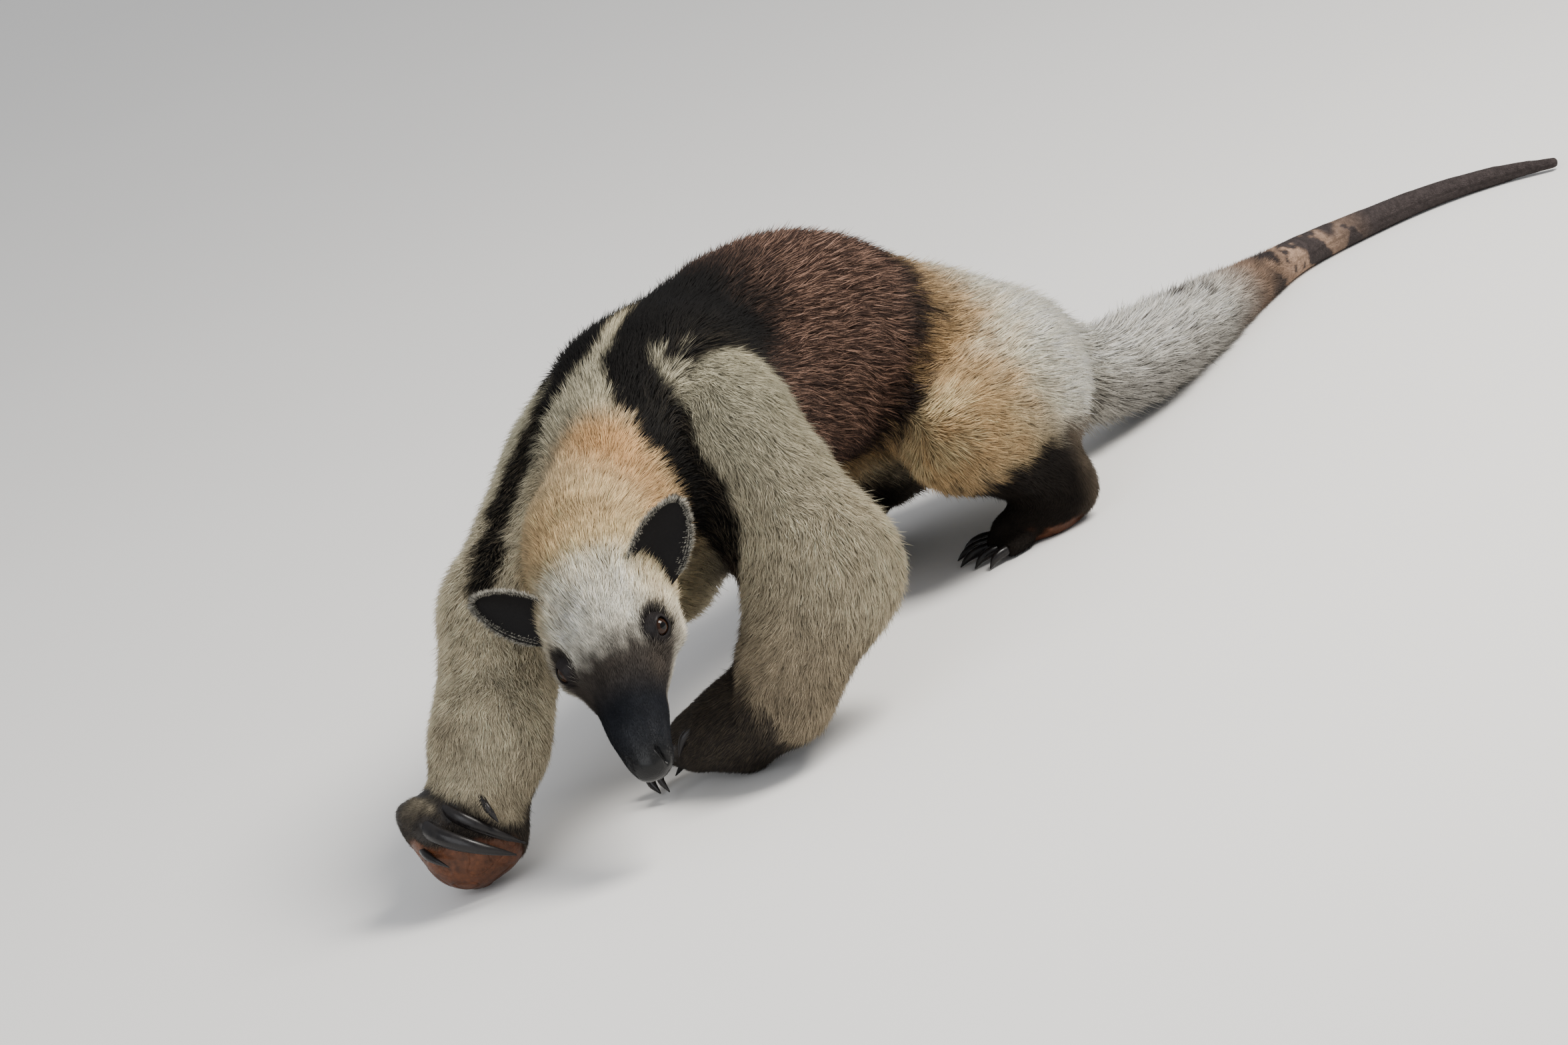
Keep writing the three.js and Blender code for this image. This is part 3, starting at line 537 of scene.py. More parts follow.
def give_numbers(mesh, numbers, name):
    give(mesh, name, "FLOAT", "value", numbers)


def points_of(mesh):
    co = np.empty(len(mesh.vertices) * 3, np.float32)
    mesh.vertices.foreach_get("co", co)
    return co.reshape(-1, 3).astype(float) / MM


def normals_of(mesh):
    normals = np.empty(len(mesh.vertices) * 3, np.float32)
    mesh.vertex_normals.foreach_get("vector", normals)
    return normals.reshape(-1, 3).astype(float)


def set_points(mesh, points):
    mesh.vertices.foreach_set("co", (points * MM).astype(np.float32).ravel())
    mesh.update()


# Shader nodes as sums


class Wire:
    """The output of a node, which can be used in sums with numbers and other wires"""

    def __init__(self, finish, socket):
        self.finish = finish
        self.socket = socket

    def sum(self, operation, other):
        return self.finish.node("ShaderNodeMath", {"operation": operation}, {0: self, 1: other})

    def __add__(self, other):
        return self.sum("ADD", other)

    def __sub__(self, other):
        return self.sum("SUBTRACT", other)

    def __mul__(self, other):
        return self.sum("MULTIPLY", other)

    __rmul__ = __mul__


class Finish:
    """A material round one shader"""

    def __init__(self, name, **shader):
        self.material = bpy.data.materials.new(name)
        self.material.use_nodes = True
        self.tree = self.material.node_tree
        self.shader = self.tree.nodes["Principled BSDF"]
        for socket, value in shader.items():
            self.set(socket.replace("_", " ").title().replace("Ior", "IOR"), value)

    def set(self, socket, value):
        self.fill(self.shader.inputs[socket], value)

    def fill(self, socket, value):
        if isinstance(value, Wire):
            self.tree.links.new(value.socket, socket)
        else:
            socket.default_value = value

    def node(self, kind, settings=None, values=None, output=0):
        made = self.tree.nodes.new(kind)
        for name, value in (settings or {}).items():
            setattr(made, name, value)
        for name, value in (values or {}).items():
            self.fill(made.inputs[name], value)
        return Wire(self, made.outputs[output])

    def attribute(self, name, output="Color"):
        return self.node("ShaderNodeAttribute", {"attribute_name": name}, output=output)

    def place(self):
        return self.node("ShaderNodeTexCoord", output="Object")

    def noise(self, scale, detail=2.0, vector=None):
        return self.node("ShaderNodeTexNoise", values={
            "Scale": scale, "Detail": detail, "Vector": vector or self.place()})

    def stretched(self, axes, scales):
        """Places turned to three axes and scaled along each of them"""
        turned = [self.node("ShaderNodeVectorMath", {"operation": "DOT_PRODUCT"},
                            {0: self.place(), 1: tuple(axis * scale)}, output="Value")
                  for axis, scale in zip(axes, scales)]
        return self.node("ShaderNodeCombineXYZ", values=dict(enumerate(turned)))

    def levels(self, value, low, high, to_low=0, to_high=1):
        return self.node("ShaderNodeMapRange", {"interpolation_type": "SMOOTHSTEP"}, {
            "Value": value, "From Min": low, "From Max": high, "To Min": to_low,
            "To Max": to_high})

    def blend(self, share, a, b):
        """Two colours mixed, through the colour sockets that the node has after its others"""
        return self.node("ShaderNodeMix", {"data_type": "RGBA"}, {0: share, 6: a, 7: b}, output=2)

    def scaled(self, colour, factor):
        return self.node("ShaderNodeVectorMath", {"operation": "SCALE"},
                         {0: colour, "Scale": factor})

    def bump(self, height, depth, strength):
        self.set("Normal", self.node("ShaderNodeBump", values={
            "Height": height, "Distance": depth, "Strength": strength}))


def coat_finish():
    coat = Finish("coat of short bristly hair", roughness=0.6, specular_ior_level=0.14)
    tone = coat.levels(coat.noise(160), 0.3, 0.7, 0.8, 1.15)
    coat.set("Base Color", coat.scaled(coat.attribute("shade"), tone))
    return coat.material


def skin_finish():
    """Skin under the coat, and bare on the snout, pads and tail"""
    skin = Finish("skin with short flat hair", specular_ior_level=0.12, coat_roughness=0.25)
    mottled = skin.levels(skin.noise(420, 4), 0.3, 0.7, 0.75, 1.2)
    skin.set("Base Color", skin.scaled(skin.attribute("shade"), mottled))
    gloss = skin.attribute("gloss", "Fac")
    skin.set("Roughness", skin.levels(gloss, 0, 1, 0.8, 0.45))
    skin.set("Coat Weight", skin.levels(gloss, 0.3, 1, 0.0, 0.35))
    hairs = skin.noise(1.0, 3, skin.stretched(HEAD_AXES, (350, 2600, 2600)))
    scales = skin.node("ShaderNodeTexVoronoi", {"feature": "DISTANCE_TO_EDGE"}, {
        "Vector": skin.attribute("tail_place", "Vector"), "Scale": 1})
    scaly = skin.attribute("scaly", "Fac")
    pebbles = skin.node("ShaderNodeTexVoronoi", values={"Vector": skin.place(), "Scale": 1100})
    relief = hairs + scaly * (skin.levels(scales, 0, 0.25) - hairs)
    relief = relief + gloss * (0.9 * skin.noise(500, 5) - 0.5 * pebbles)
    skin.bump(relief, 0.0005, 0.6)
    return skin.material


def ear_finish():
    ear = Finish("thin dark skin of the ears", roughness=0.7, specular_ior_level=0.15)
    mottled = ear.noise(700, 4)
    ear.set("Base Color", ear.blend(mottled, (*EAR_BLACK, 1), (*(EAR_BLACK * 2.2), 1)))
    ear.bump(ear.noise(1500, 3), 0.0003, 0.5)
    return ear.material


def claw_finish():
    claw = Finish("black polished horn", specular_ior_level=0.3)
    streaks = claw.noise(240, 4)
    claw.set("Base Color", claw.blend(streaks, (0.003, 0.003, 0.004, 1), (0.016, 0.013, 0.012, 1)))
    claw.set("Roughness", claw.levels(streaks, 0.3, 0.7, 0.22, 0.42))
    claw.bump(streaks, 0.0002, 0.4)
    return claw.material


def eye_finish():
    eye = Finish("wet dark eye", roughness=0.07, specular_ior_level=0.26)
    gaze = eye.attribute("gaze", "Fac")
    fibres = eye.noise(1800, 3)
    iris = eye.blend(fibres, (0.010, 0.004, 0.002, 1), (0.032, 0.012, 0.005, 1))
    pupil = eye.levels(gaze, 0.93, 0.955)
    outer = eye.levels(gaze, 0.62, 0.72)
    ball = eye.blend(outer, (0.006, 0.004, 0.003, 1), iris)
    eye.set("Base Color", eye.blend(pupil, ball, (0.001, 0.001, 0.001, 1)))
    return eye.material


COAT = coat_finish()
SKIN = skin_finish()
EAR = ear_finish()
CLAW = claw_finish()
EYE = eye_finish()

# Skin: the flesh of the CAD nodes in one piece, drawn in by the depth of the coat

FLESH = [name for name in sorted(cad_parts)
         if not name.startswith(("claw", "eye", "ear"))]
GROWN = 0.4
VOXEL = 1.7
SMOOTHING = 7.0
COAT_DEPTH = 0.36
FINGER_REACH = [-10, -2, 4, 8.5]
FINGER_GIRTHS = [1.5, 1.7, 1.6, 1.25]
FACE_FORMS = [
    ([(10, 20, -3), (22, 19.5, 0.5), (34, 17, -3), (48, 12.5, -4.5)], [11, 10.5, 8.5, 7]),
    ([(10, 16, 9), (24, 15.5, 8)], [11, 9]),
    ([(4, 21, 0), (18, 22.5, 1.5), (27, 22, -4)], [10.5, 10, 9.5]),
    ([(24, 15.5, 6), (46, 7, 1)], [10, 10.5]),
    ([(40, 5, -0.5), (56, 4, -2), (66, 3.4, -3.2), (80, 1.6, -5), (84, 0.8, -5.8)],
     [14, 12.2, 11.6, 9.9, 9.3]),
]


def flesh_of_frame():
    """All flesh nodes as one mesh whose walls just overlap, with plugs in the head's sockets"""
    whole = bmesh.new()
    for name in FLESH:
        part = bmesh.new()
        part.from_mesh(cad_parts[name].data)
        bmesh.ops.remove_doubles(part, verts=part.verts, dist=1e-6)
        part.normal_update()
        for vertex in part.verts:
            vertex.co += vertex.normal * GROWN * MM
        mesh = bpy.data.meshes.new("part")
        part.to_mesh(mesh)
        part.free()
        whole.from_mesh(mesh)
        bpy.data.meshes.remove(mesh)
    for side in (1, -1):
        add_ball(whole, eye_place(side), EYE_RADIUS - 0.4)
        add_ball(whole, in_head(4, 21 * side, 5), 10.5)
        for line, girths in FACE_FORMS:
            add_limb(whole, [in_face(f, s * side, u) for f, s, u in line], girths)
    for claws in HAND_CLAWS.values():
        for radius, path in claws:
            root, ahead = at(*path[0]), at(*path[1])
            way = units(ahead - root)
            add_limb(whole, [root + way * share for share in FINGER_REACH],
                     [radius * girth + 0.9 for girth in FINGER_GIRTHS])
    return whole


def add_ball(shape, centre, radius):
    bmesh.ops.create_icosphere(shape, subdivisions=3, radius=radius * MM,
                               matrix=Matrix.Translation(centre * MM))


def add_limb(shape, line, girths):
    """Balls set close along a line, which the remeshing joins"""
    for start, end, girth, girth_end in zip(line, line[1:], girths, girths[1:]):
        steps = max(2, int(np.linalg.norm(end - start) / 1.5))
        for share in np.linspace(0, 1, steps):
            add_ball(shape, mix(start, end, share), mix(girth, girth_end, share))


def remeshed(shape, voxel):
    mesh = bpy.data.meshes.new("skin")
    shape.to_mesh(mesh)
    shape.free()
    rough = placed("skin", mesh)
    modifier = rough.modifiers.new("one surface", "REMESH")
    modifier.mode = "VOXEL"
    modifier.voxel_size = voxel * MM
    ready = rough.evaluated_get(bpy.context.evaluated_depsgraph_get())
    made = bpy.data.meshes.new_from_object(ready)
    bpy.data.objects.remove(rough)
    bpy.data.meshes.remove(mesh)
    return made


def edges_of(mesh):
    edges = np.empty(len(mesh.edges) * 2, np.int32)
    mesh.edges.foreach_get("vertices", edges)
    return edges.reshape(-1, 2)


def smoothed(points, edges, strengths, passes):
    a, b = edges.T
    count = np.bincount(a, minlength=len(points)) + np.bincount(b, minlength=len(points))
    for _ in range(passes):
        middle = np.stack([
            np.bincount(a, column[b], len(points)) + np.bincount(b, column[a], len(points))
            for column in points.T], axis=1)
        points = mix(points, middle / np.maximum(count, 1)[:, None], strengths[:, None])
    return points


def settled(mesh, points, strengths, passes):
    """Smoothed, then let out again where that drew a form in"""
    edges = edges_of(mesh)
    soft = smoothed(points, edges, strengths, passes)
    set_points(mesh, soft)
    normals = normals_of(mesh)
    lost = np.einsum("ij,ij->i", points - soft, normals)[:, None]
    return soft + normals * smoothed(lost, edges, np.maximum(strengths, 0.3), 2 * passes)


def coat_depth(ground):
    depth = COAT_DEPTH * ground.hair()
    return np.where(ground.points[:, 2] < 1.5, np.minimum(depth, 0.2), depth)


def refine(shape, near):
    """Cuts each edge of the chosen part in two"""
    points = np.array([vertex.co for vertex in shape.verts]) / MM
    chosen = near(points)
    edges = [edge for edge in shape.edges if chosen[edge.verts[0].index]
             and chosen[edge.verts[1].index]]
    bmesh.ops.subdivide_edges(shape, edges=edges, cuts=1, use_grid_fill=True)
    shape.verts.index_update()


def round_muzzle(forward, spread, up):
    return [in_face(forward - back, spread * wide, up + lift) for back, wide, lift in (
        (17, 1.1, 1.6), (8, 1.02, 0.6), (1, 0.62, 0), (-1.5, 0, -0.3),
        (1, -0.62, 0), (8, -1.02, 0.6), (17, -1.1, 1.6))]


MOUTH = round_muzzle(90.6, 8.9, -9.5)
NOSTRILS = [[in_face(83, 7.0 * side, 1.0), in_face(86.5, 8.2 * side, -1.6),
             in_face(88, 8.0 * side, -4.4)] for side in (1, -1)]


def finger_clefts():
    """Lines between each two neighbouring fingers of a hand, from their claws back"""
    lines = []
    for claws in HAND_CLAWS.values():
        for (_, path), (_, other) in zip(claws, claws[1:]):
            root = mix(at(*path[0]), at(*other[0]), 0.5)
            way = units(at(*path[1]) + at(*other[1]) - 2 * root)
            lines.append([root + way * 5, root - way * 3, root - way * 13])
    return lines


def press(points, normals, line, width, depth):
    """Draws the surface in along a line, or out where depth is less than 0"""
    gap = from_line(points, line, [0] * len(line))
    return points - normals * (depth * np.exp(-(gap / width) ** 2))[:, None]


def sink_socket(points, side):
    """Lowers the skin under the eyeball and its lids"""
    outward, long, tall = eye_axes(side)
    off = points - eye_place(side)
    height = off @ outward
    wide = np.sqrt((off @ long / 7.2) ** 2 + (off @ tall / 5.8) ** 2)
    floor = EYE_RADIUS * 0.95 - 0.6 - 4.5 * (1 - rise(0.45, 1.0, wide))
    lower = (height > floor) & (wide < 1) & (height < 14)
    return points - outward * np.where(lower, height - floor, 0)[:, None]


def near_detail(points):
    forward, left, _ = head_measures(points)
    snout = (forward > 66) & (forward < 110) & (np.abs(left) < 25)
    return snout | (from_eyes(points) < 17) | (from_place(points, PAD_RIGHT) < 27)


def make_skin():
    mesh = remeshed(flesh_of_frame(), VOXEL)
    draw_in(mesh)
    shape = bmesh.new()
    shape.from_mesh(mesh)
    for _ in range(2):
        refine(shape, near_detail)
    shape.to_mesh(mesh)
    shape.free()
    work_detail(mesh)
    return mesh


def draw_in(mesh):
    """Smooths the flesh, least at the face and the feet, and makes room for the coat"""
    points = points_of(mesh)
    forward = head_measures(points)[0]
    ground = Ground(points)
    fine = np.maximum(ground.share_of("head") * rise(0, 60, forward),
                      rise(35, 12, points[:, 2] + 3 * ground.hair()))
    strengths = mix(0.6, 0.12, np.clip(fine, 0, 1))
    points = settled(mesh, points, strengths, int((SMOOTHING / VOXEL) ** 2 * 2))
    set_points(mesh, points)
    points = points - normals_of(mesh) * (coat_depth(Ground(points)) + GROWN * 0.5)[:, None]
    points[:, 2] = np.maximum(points[:, 2], 0.1)
    set_points(mesh, points)


def work_detail(mesh):
    """Eye sockets, mouth and nostrils, the clefts between fingers and the creases of the pad"""
    points = points_of(mesh)
    points = smoothed(points, edges_of(mesh), np.where(near_detail(points), 0.5, 0.0), 6)
    set_points(mesh, points)
    normals = normals_of(mesh)
    for side in (1, -1):
        points = sink_socket(points, side)
    points = press(points, normals, MOUTH, 0.9, 1.3)
    for line in NOSTRILS:
        points = press(points, normals, line, 1.3, 2.4)
        points = press(points, normals, [place + TO_CROWN * 2.2 for place in line], 1.3, -0.6)
    for line in finger_clefts():
        points = press(points, normals, line, 2.0, 2.2)
    creases = np.exp(-(wobble(points, 15, 18) / 0.13) ** 2) * bare_pad(points)
    set_points(mesh, points - normals * (0.55 * creases)[:, None])


def dress_skin(mesh):
    points = points_of(mesh)
    ground = Ground(points)
    forward, _, _ = head_measures(points)
    colour = markings(ground)
    # skin is darkened where the hair is longer, as painted shade of the coat over it
    coat_shade = rise(1.5, 5, ground.hair())[:, None]
    give_colours(mesh, colour * mix(1.0, 0.55, coat_shade))
    head = ground.share_of("head")
    gloss = np.maximum(head * rise(45, 90, forward), 0.8 * bare_pad(points))
    gloss = np.maximum(gloss, 0.9 * on_fingers(points))
    give_numbers(mesh, gloss, "gloss")
    scaly = ground.share_of("tail") * rise(TAIL_BARE_FROM - 20, TAIL_BARE_FROM + 20, points[:, 1])
    give_numbers(mesh, scaly, "scaly")
    give_tail_places(mesh, points)
    mesh.polygons.foreach_set("use_smooth", np.ones(len(mesh.polygons), bool))
    return dress(placed("skin", mesh), SKIN, FLESH)


SCALE_LENGTH, SCALES_ROUND = 1.5, 22


def give_tail_places(mesh, points):
    """Places in rings round the tail, for its scales: how far along, and how far round"""
    way = np.zeros(len(points))
    turn = np.zeros(len(points))
    nearest = np.full(len(points), 1e9)
    walked = 0.0
    for start, end in zip(TAIL, TAIL[1:]):
        run = end - start
        share, off = along_run(points, start, end)
        reach = np.linalg.norm(off, axis=1)
        side = units(np.cross(UP, run))
        angle = np.arctan2(off[:, 2], off @ side)
        closer = reach < nearest
        nearest = np.where(closer, reach, nearest)
        way = np.where(closer, walked + share * np.linalg.norm(run), way)
        turn = np.where(closer, angle, turn)
        walked += np.linalg.norm(run)
    round_tail = turn * SCALES_ROUND / (2 * np.pi)
    place = np.stack([way / SCALE_LENGTH, round_tail, 0 * way], axis=1)
    give(mesh, "tail_place", "FLOAT_VECTOR", "vector", place)


# Coat


class Pelt:
    """The skin as triangles, with normals and an unwrap, to set tufts on"""

    def __init__(self, skin):
        mesh = skin.data
        unwrap(skin)
        mesh.calc_loop_triangles()
        count = len(mesh.loop_triangles)
        self.corners = np.empty(count * 3, np.int32)
        mesh.loop_triangles.foreach_get("vertices", self.corners)
        self.corners = self.corners.reshape(-1, 3)
        loops = np.empty(count * 3, np.int32)
        mesh.loop_triangles.foreach_get("loops", loops)
        flat = np.empty(len(mesh.loops) * 2, np.float32)
        mesh.uv_layers["unwrap"].data.foreach_get("uv", flat)
        self.flat = flat.reshape(-1, 2)[loops.reshape(-1, 3)].astype(float)
        mesh.uv_layers.remove(mesh.uv_layers["unwrap"])
        self.points = points_of(mesh)
        self.normals = normals_of(mesh)
        a, b, c = (self.points[self.corners[:, i]] for i in range(3))
        self.areas = np.linalg.norm(np.cross(b - a, c - a), axis=1) / 2
        self.middles = (a + b + c) / 3

    def roots(self, density):
        """Places spread over the triangles, density to the square millimetre"""
        wanted = np.cumsum(self.areas * density)
        picks = np.arange(chance.uniform(), wanted[-1])
        face = np.searchsorted(wanted, picks)
        face = np.minimum(face, len(self.areas) - 1)
        r1 = np.sqrt(chance.uniform(size=len(face)))
        r2 = chance.uniform(size=len(face))
        weights = np.stack([1 - r1, r1 * (1 - r2), r1 * r2], axis=1)
        corners = self.corners[face]
        points = np.einsum("ij,ijk->ik", weights, self.points[corners])
        normals = units(np.einsum("ij,ijk->ik", weights, self.normals[corners]))
        flat = np.einsum("ij,ijk->ik", weights, self.flat[face])
        return points, normals, flat


def unwrap(skin):
    skin.data.uv_layers.new(name="unwrap")
    bpy.context.view_layer.objects.active = skin
    skin.select_set(True)
    bpy.ops.object.mode_set(mode="EDIT")
    bpy.ops.mesh.select_all(action="SELECT")
    bpy.ops.uv.smart_project(angle_limit=1.15, island_margin=0.001)
    bpy.ops.object.mode_set(mode="OBJECT")
    skin.select_set(False)


TUFT_PATCH = 0.003
MOST_TUFTS = 49000
TUFTS_TO_MM, SPARSEST_HAIR, QUICK_SHARE = 10.6, 2.6, 0.15
TUFT_SLOTS = {"head": "cream coat", "neck": "cream coat", "trunk": "black coat",
              "tail": "cream coat", "arm": "grizzled coat", "leg": "cream coat"}


def lie_of_coat(ground, normals):
    lie = ground.blend(lambda bone: (bone.lie, bone.lie))
    droop = ground.share_of("trunk", "neck", "arm_left", "arm_right")
    lie = lie - UP * (0.35 * droop)[:, None]
    lie = units(lie - normals * np.einsum("ij,ij->i", lie, normals)[:, None])
    swirl = 0.22 * wobble(ground.points, 24, 21) + 0.12 * wobble(ground.points, 8, 22)
    swirl = swirl + chance.normal(0, 0.16, len(lie))
    return lie * np.cos(swirl)[:, None] + np.cross(normals, lie) * np.sin(swirl)[:, None]


def grow_coat(pelt):
    """The coat in pieces by region, each in parts from front to back"""
    density = tuft_density(Ground(pelt.middles)) * 1
    points, normals, flat = pelt.roots(density)
    ground = Ground(points)
    way, length, width = tuft_growth(ground, normals)
    root, tip = tuft_colours(ground)
    tufts = {"points": points, "normals": normals, "flat": flat, "way": way, "length": length,
             "width": width, "root": root, "tip": tip}
    regions = BONE_REGIONS[ground.shares.argmax(axis=1)]
    for region in sorted(set(regions)):
        chosen = np.flatnonzero(regions == region)
        chosen = chosen[np.argsort(points[chosen, 1], kind="stable")]
        parts = int(np.ceil(len(chosen) / MOST_TUFTS))
        for number, own in enumerate(np.array_split(chosen, parts), start=1):
            coat_piece(f"coat_{region}_{number}", TUFT_SLOTS[region.split("_")[0]],
                       **{name: rows[own] for name, rows in tufts.items()})


def tuft_growth(ground, normals):
    """Which way each tuft grows, its length and its width"""
    count = len(ground.points)
    length = ground.hair() * chance.uniform(0.7, 1.15, count)
    stand = np.radians(ground.blend(lambda bone: (bone.stand, bone.stand))[:, 0])
    stand = stand * np.exp(chance.normal(0, 0.3, count))
    forward, left, _ = head_measures(ground.points)
    cheek = ground.share_of("head") * rise(14, 22, np.abs(left)) * (1 - rise(42, 60, forward))
    length = length * (1 + 0.35 * cheek)
    stand = stand + 0.25 * cheek
    lie = lie_of_coat(ground, normals)
    way = lie * np.cos(stand)[:, None] + normals * np.sin(stand)[:, None]
    width = np.clip(0.12 + 0.034 * length, 0.17, 0.6) * chance.uniform(0.7, 1.3, count)
    return way, length, width


def tuft_density(ground):
    hair = ground.hair()
    density = np.where(hair > 0.8, TUFTS_TO_MM / np.maximum(hair, SPARSEST_HAIR), 0)
    density = density * (1 + 0.35 * ground.share_of("head", "neck"))
    density = density * (1 - bare_pad(ground.points)) * (1 - on_fingers(ground.points))
    tail_end = ground.share_of("tail") * rise(TAIL_BARE_FROM, TAIL_BARE_FROM + 40,
                                              ground.points[:, 1])
    density = density * (1 - 0.95 * tail_end)
    density = density * rise(6, 7.5, from_eyes(ground.points))
    forward = head_measures(ground.points)[0]
    return density * (1 - rise(82, 90, forward)) * (ground.points[:, 2] > 0.6)


def tuft_colours(ground):
    """Colour at the root and at the tip of each tuft"""
    count = len(ground.points)
    colour = markings(ground, chance.normal(0, 1.6, count))
    tone = np.exp(chance.normal(0, 0.15, count) + 0.07 * wobble(ground.points, 13, 23))
    pale = rise(0.05, 0.3, colour.mean(axis=1))
    grizzle = ground.share_of("arm_left", "arm_right", "tail") * pale
    forearm = grizzle * rise(100, 40, ground.points[:, 2])
    dark_hair = chance.uniform(size=count) < 0.035 + 0.13 * forearm
    tone = np.where(dark_hair & (pale > 0.5), tone * 0.3, tone)
    root = colour * (tone * mix(0.75, 0.5, pale))[:, None]
    tip = np.minimum(colour * (tone * mix(1.3, 1.28, pale))[:, None], 0.9)
    hand = ground.share_of("arm_left", "arm_right") * (1 - pale)
    grey = hand * (chance.uniform(size=count) < 0.4)
    tip = mix(tip, GRIZZLED * 0.6, (grey * chance.uniform(0.2, 0.9, count))[:, None])
    # hairs with light brown tips in the middle of the vest, the tips brightened as painted glints
    # of light on them
    vest = (1 - pale) * ground.share_of("trunk") * browning(ground.points)
    brown = (chance.uniform(size=count) < 0.34) * vest
    tip = mix(tip, BROWN_TIP_AND_GLINT, (brown * chance.uniform(0.3, 1.0, count))[:, None])
    return root, tip


def coat_piece(name, slot, points, normals, flat, way, length, width, root, tip):
    """Three-sided tapered tufts: three corners sunk at the root, and the tip"""
    count = len(points)
    across = units(np.cross(way, normals))
    deep = np.cross(across, way)
    base = points - way * 0.8
    corners = np.empty((count, 4, 3))
    for index, angle in enumerate((0.3, 0.3 + 2 * np.pi / 3, 0.3 + 4 * np.pi / 3)):
        ring = across * np.cos(angle) + deep * np.sin(angle)
        corners[:, index] = base + ring * (width * 0.58)[:, None]
    corners[:, 3] = points + way * length[:, None]
    corners = np.clip(corners, BOX_LOW, BOX_HIGH)
    start = np.arange(count)[:, None, None] * 4
    faces = start + np.array([[0, 1, 3], [1, 2, 3], [2, 0, 3], [0, 2, 1]])
    piece = piece_from(name, corners.reshape(-1, 3), faces.reshape(-1, 3), COAT)
    shades = np.stack([root, root, root, tip], axis=1)
    give_colours(piece.data, shades.reshape(-1, 3))
    patch = TUFT_PATCH * vec(-0.5, -0.5, 0.5, -0.5, 0, 0.5).reshape(3, 2)
    uv = np.repeat(flat[:, None, :], 12, axis=1)
    for face in range(3):
        uv[:, face * 3:face * 3 + 3] += patch
    uv[:, 9:12] += patch[0]
    layer = piece.data.uv_layers.new(name="OFBake")
    layer.data.foreach_set("uv", uv.astype(np.float32).ravel())


# Lofts: rings of points joined into a closed surface


def loft(rings, close_ends=True):
    """Points and triangles of a tube through rings that have as many points each"""
    rings = np.asarray(rings)
    count, sides = rings.shape[:2]
    points = rings.reshape(-1, 3)
    index = np.arange(count * sides).reshape(count, sides)
    a, b = index[:-1], np.roll(index, -1, axis=1)[:-1]
    c, d = index[1:], np.roll(index, -1, axis=1)[1:]
    faces = [np.stack(side, axis=-1).reshape(-1, 3) for side in ([a, b, d], [a, d, c])]
    if close_ends:
        first, last = len(points), len(points) + 1
        points = np.concatenate([points, [rings[0].mean(axis=0), rings[-1].mean(axis=0)]])
        turn = np.roll(index, -1, axis=1)
        faces.append(np.stack([turn[0], index[0], np.full(sides, first)], axis=-1))
        faces.append(np.stack([index[-1], turn[-1], np.full(sides, last)], axis=-1))
    return points, np.concatenate(faces)


def curve_through(points, count):
    """A smooth line through places, as evenly stepped points"""
    points = np.asarray(points)
    padded = np.concatenate([[2 * points[0] - points[1]], points, [2 * points[-1] - points[-2]]])
    made = []
    for share in np.linspace(0, len(points) - 1, count):
        i = min(int(share), len(points) - 2)
        t = share - i
        p0, p1, p2, p3 = padded[i:i + 4]
        made.append(0.5 * (2 * p1 + (p2 - p0) * t + (2 * p0 - 5 * p1 + 4 * p2 - p3) * t ** 2
                           + (3 * p1 - p0 - 3 * p2 + p3) * t ** 3))
    return np.array(made)


# Claws

CLAW_LARGE, CLAW_MIDDLE, CLAW_SMALL, TOE_CLAW = 4.6, 3.5, 2.4, 2.6
ORDINALS = ("first", "second", "third", "fourth", "fifth")
HORN_RINGS, HORN_SIDES = 22, 20
HORN_TAPER = (0, 0.2, 0.5, 0.8, 1), (1.02, 1.08, 0.92, 0.5, 0.1)
HAND_CLAWS = {
    "left_hand": [
        (CLAW_SMALL, [(4, -22, 31), (-3, -27, 27), (-7, -30, 20)]),
        (CLAW_MIDDLE, [(-10, -18, 23), (-17, -26, 20), (-20, -32, 12), (-16, -34, 5)]),
        (CLAW_LARGE, [(-16, -12, 18), (-27, -18, 16), (-33, -23, 8), (-28, -26, 1.8)]),
        (CLAW_SMALL, [(-14, -2, 8), (-25, -4, 7), (-31, -8, 2.4)]),
    ],
    "right_hand": [
        (CLAW_SMALL, [(-55, -112, 44), (-49, -117, 40), (-46, -117, 33)]),
        (CLAW_MIDDLE, [(-76, -116, 44), (-62, -122, 39), (-50, -117, 28), (-43, -108, 18)]),
        (CLAW_LARGE, [(-84, -123, 40), (-69, -131, 35), (-53, -129, 27), (-42, -118, 17)]),
        (CLAW_SMALL, [(-88, -124, 30), (-78, -133, 27), (-66, -136, 22)]),
    ],
}


def horn(name, radius, path):
    """A curved claw: round on top, keeled below, narrowing to its tip"""
    turns = np.linspace(0, 2 * np.pi, HORN_SIDES, endpoint=False)
    keel = np.where(np.sin(turns) < 0, 1 - 0.12 * np.sin(turns) ** 2, 1)
    rings = []
    line = curve_through(path, HORN_RINGS)
    last = HORN_RINGS - 1
    for index, centre in enumerate(line):
        share = index / last
        way = units(line[min(index + 1, last)] - line[max(index - 1, 0)])
        side = units(np.cross(UP, way))
        top = np.cross(way, side)
        size = radius * np.interp(share, *HORN_TAPER)
        rings.append(centre + size * keel[:, None] * (
            np.cos(turns)[:, None] * side * 0.8 + np.sin(turns)[:, None] * top))
    points, faces = loft(rings)
    points[:, 2] = np.maximum(points[:, 2], 0.05)
    piece_from(f"{name}_horn", points, faces, CLAW, [name])


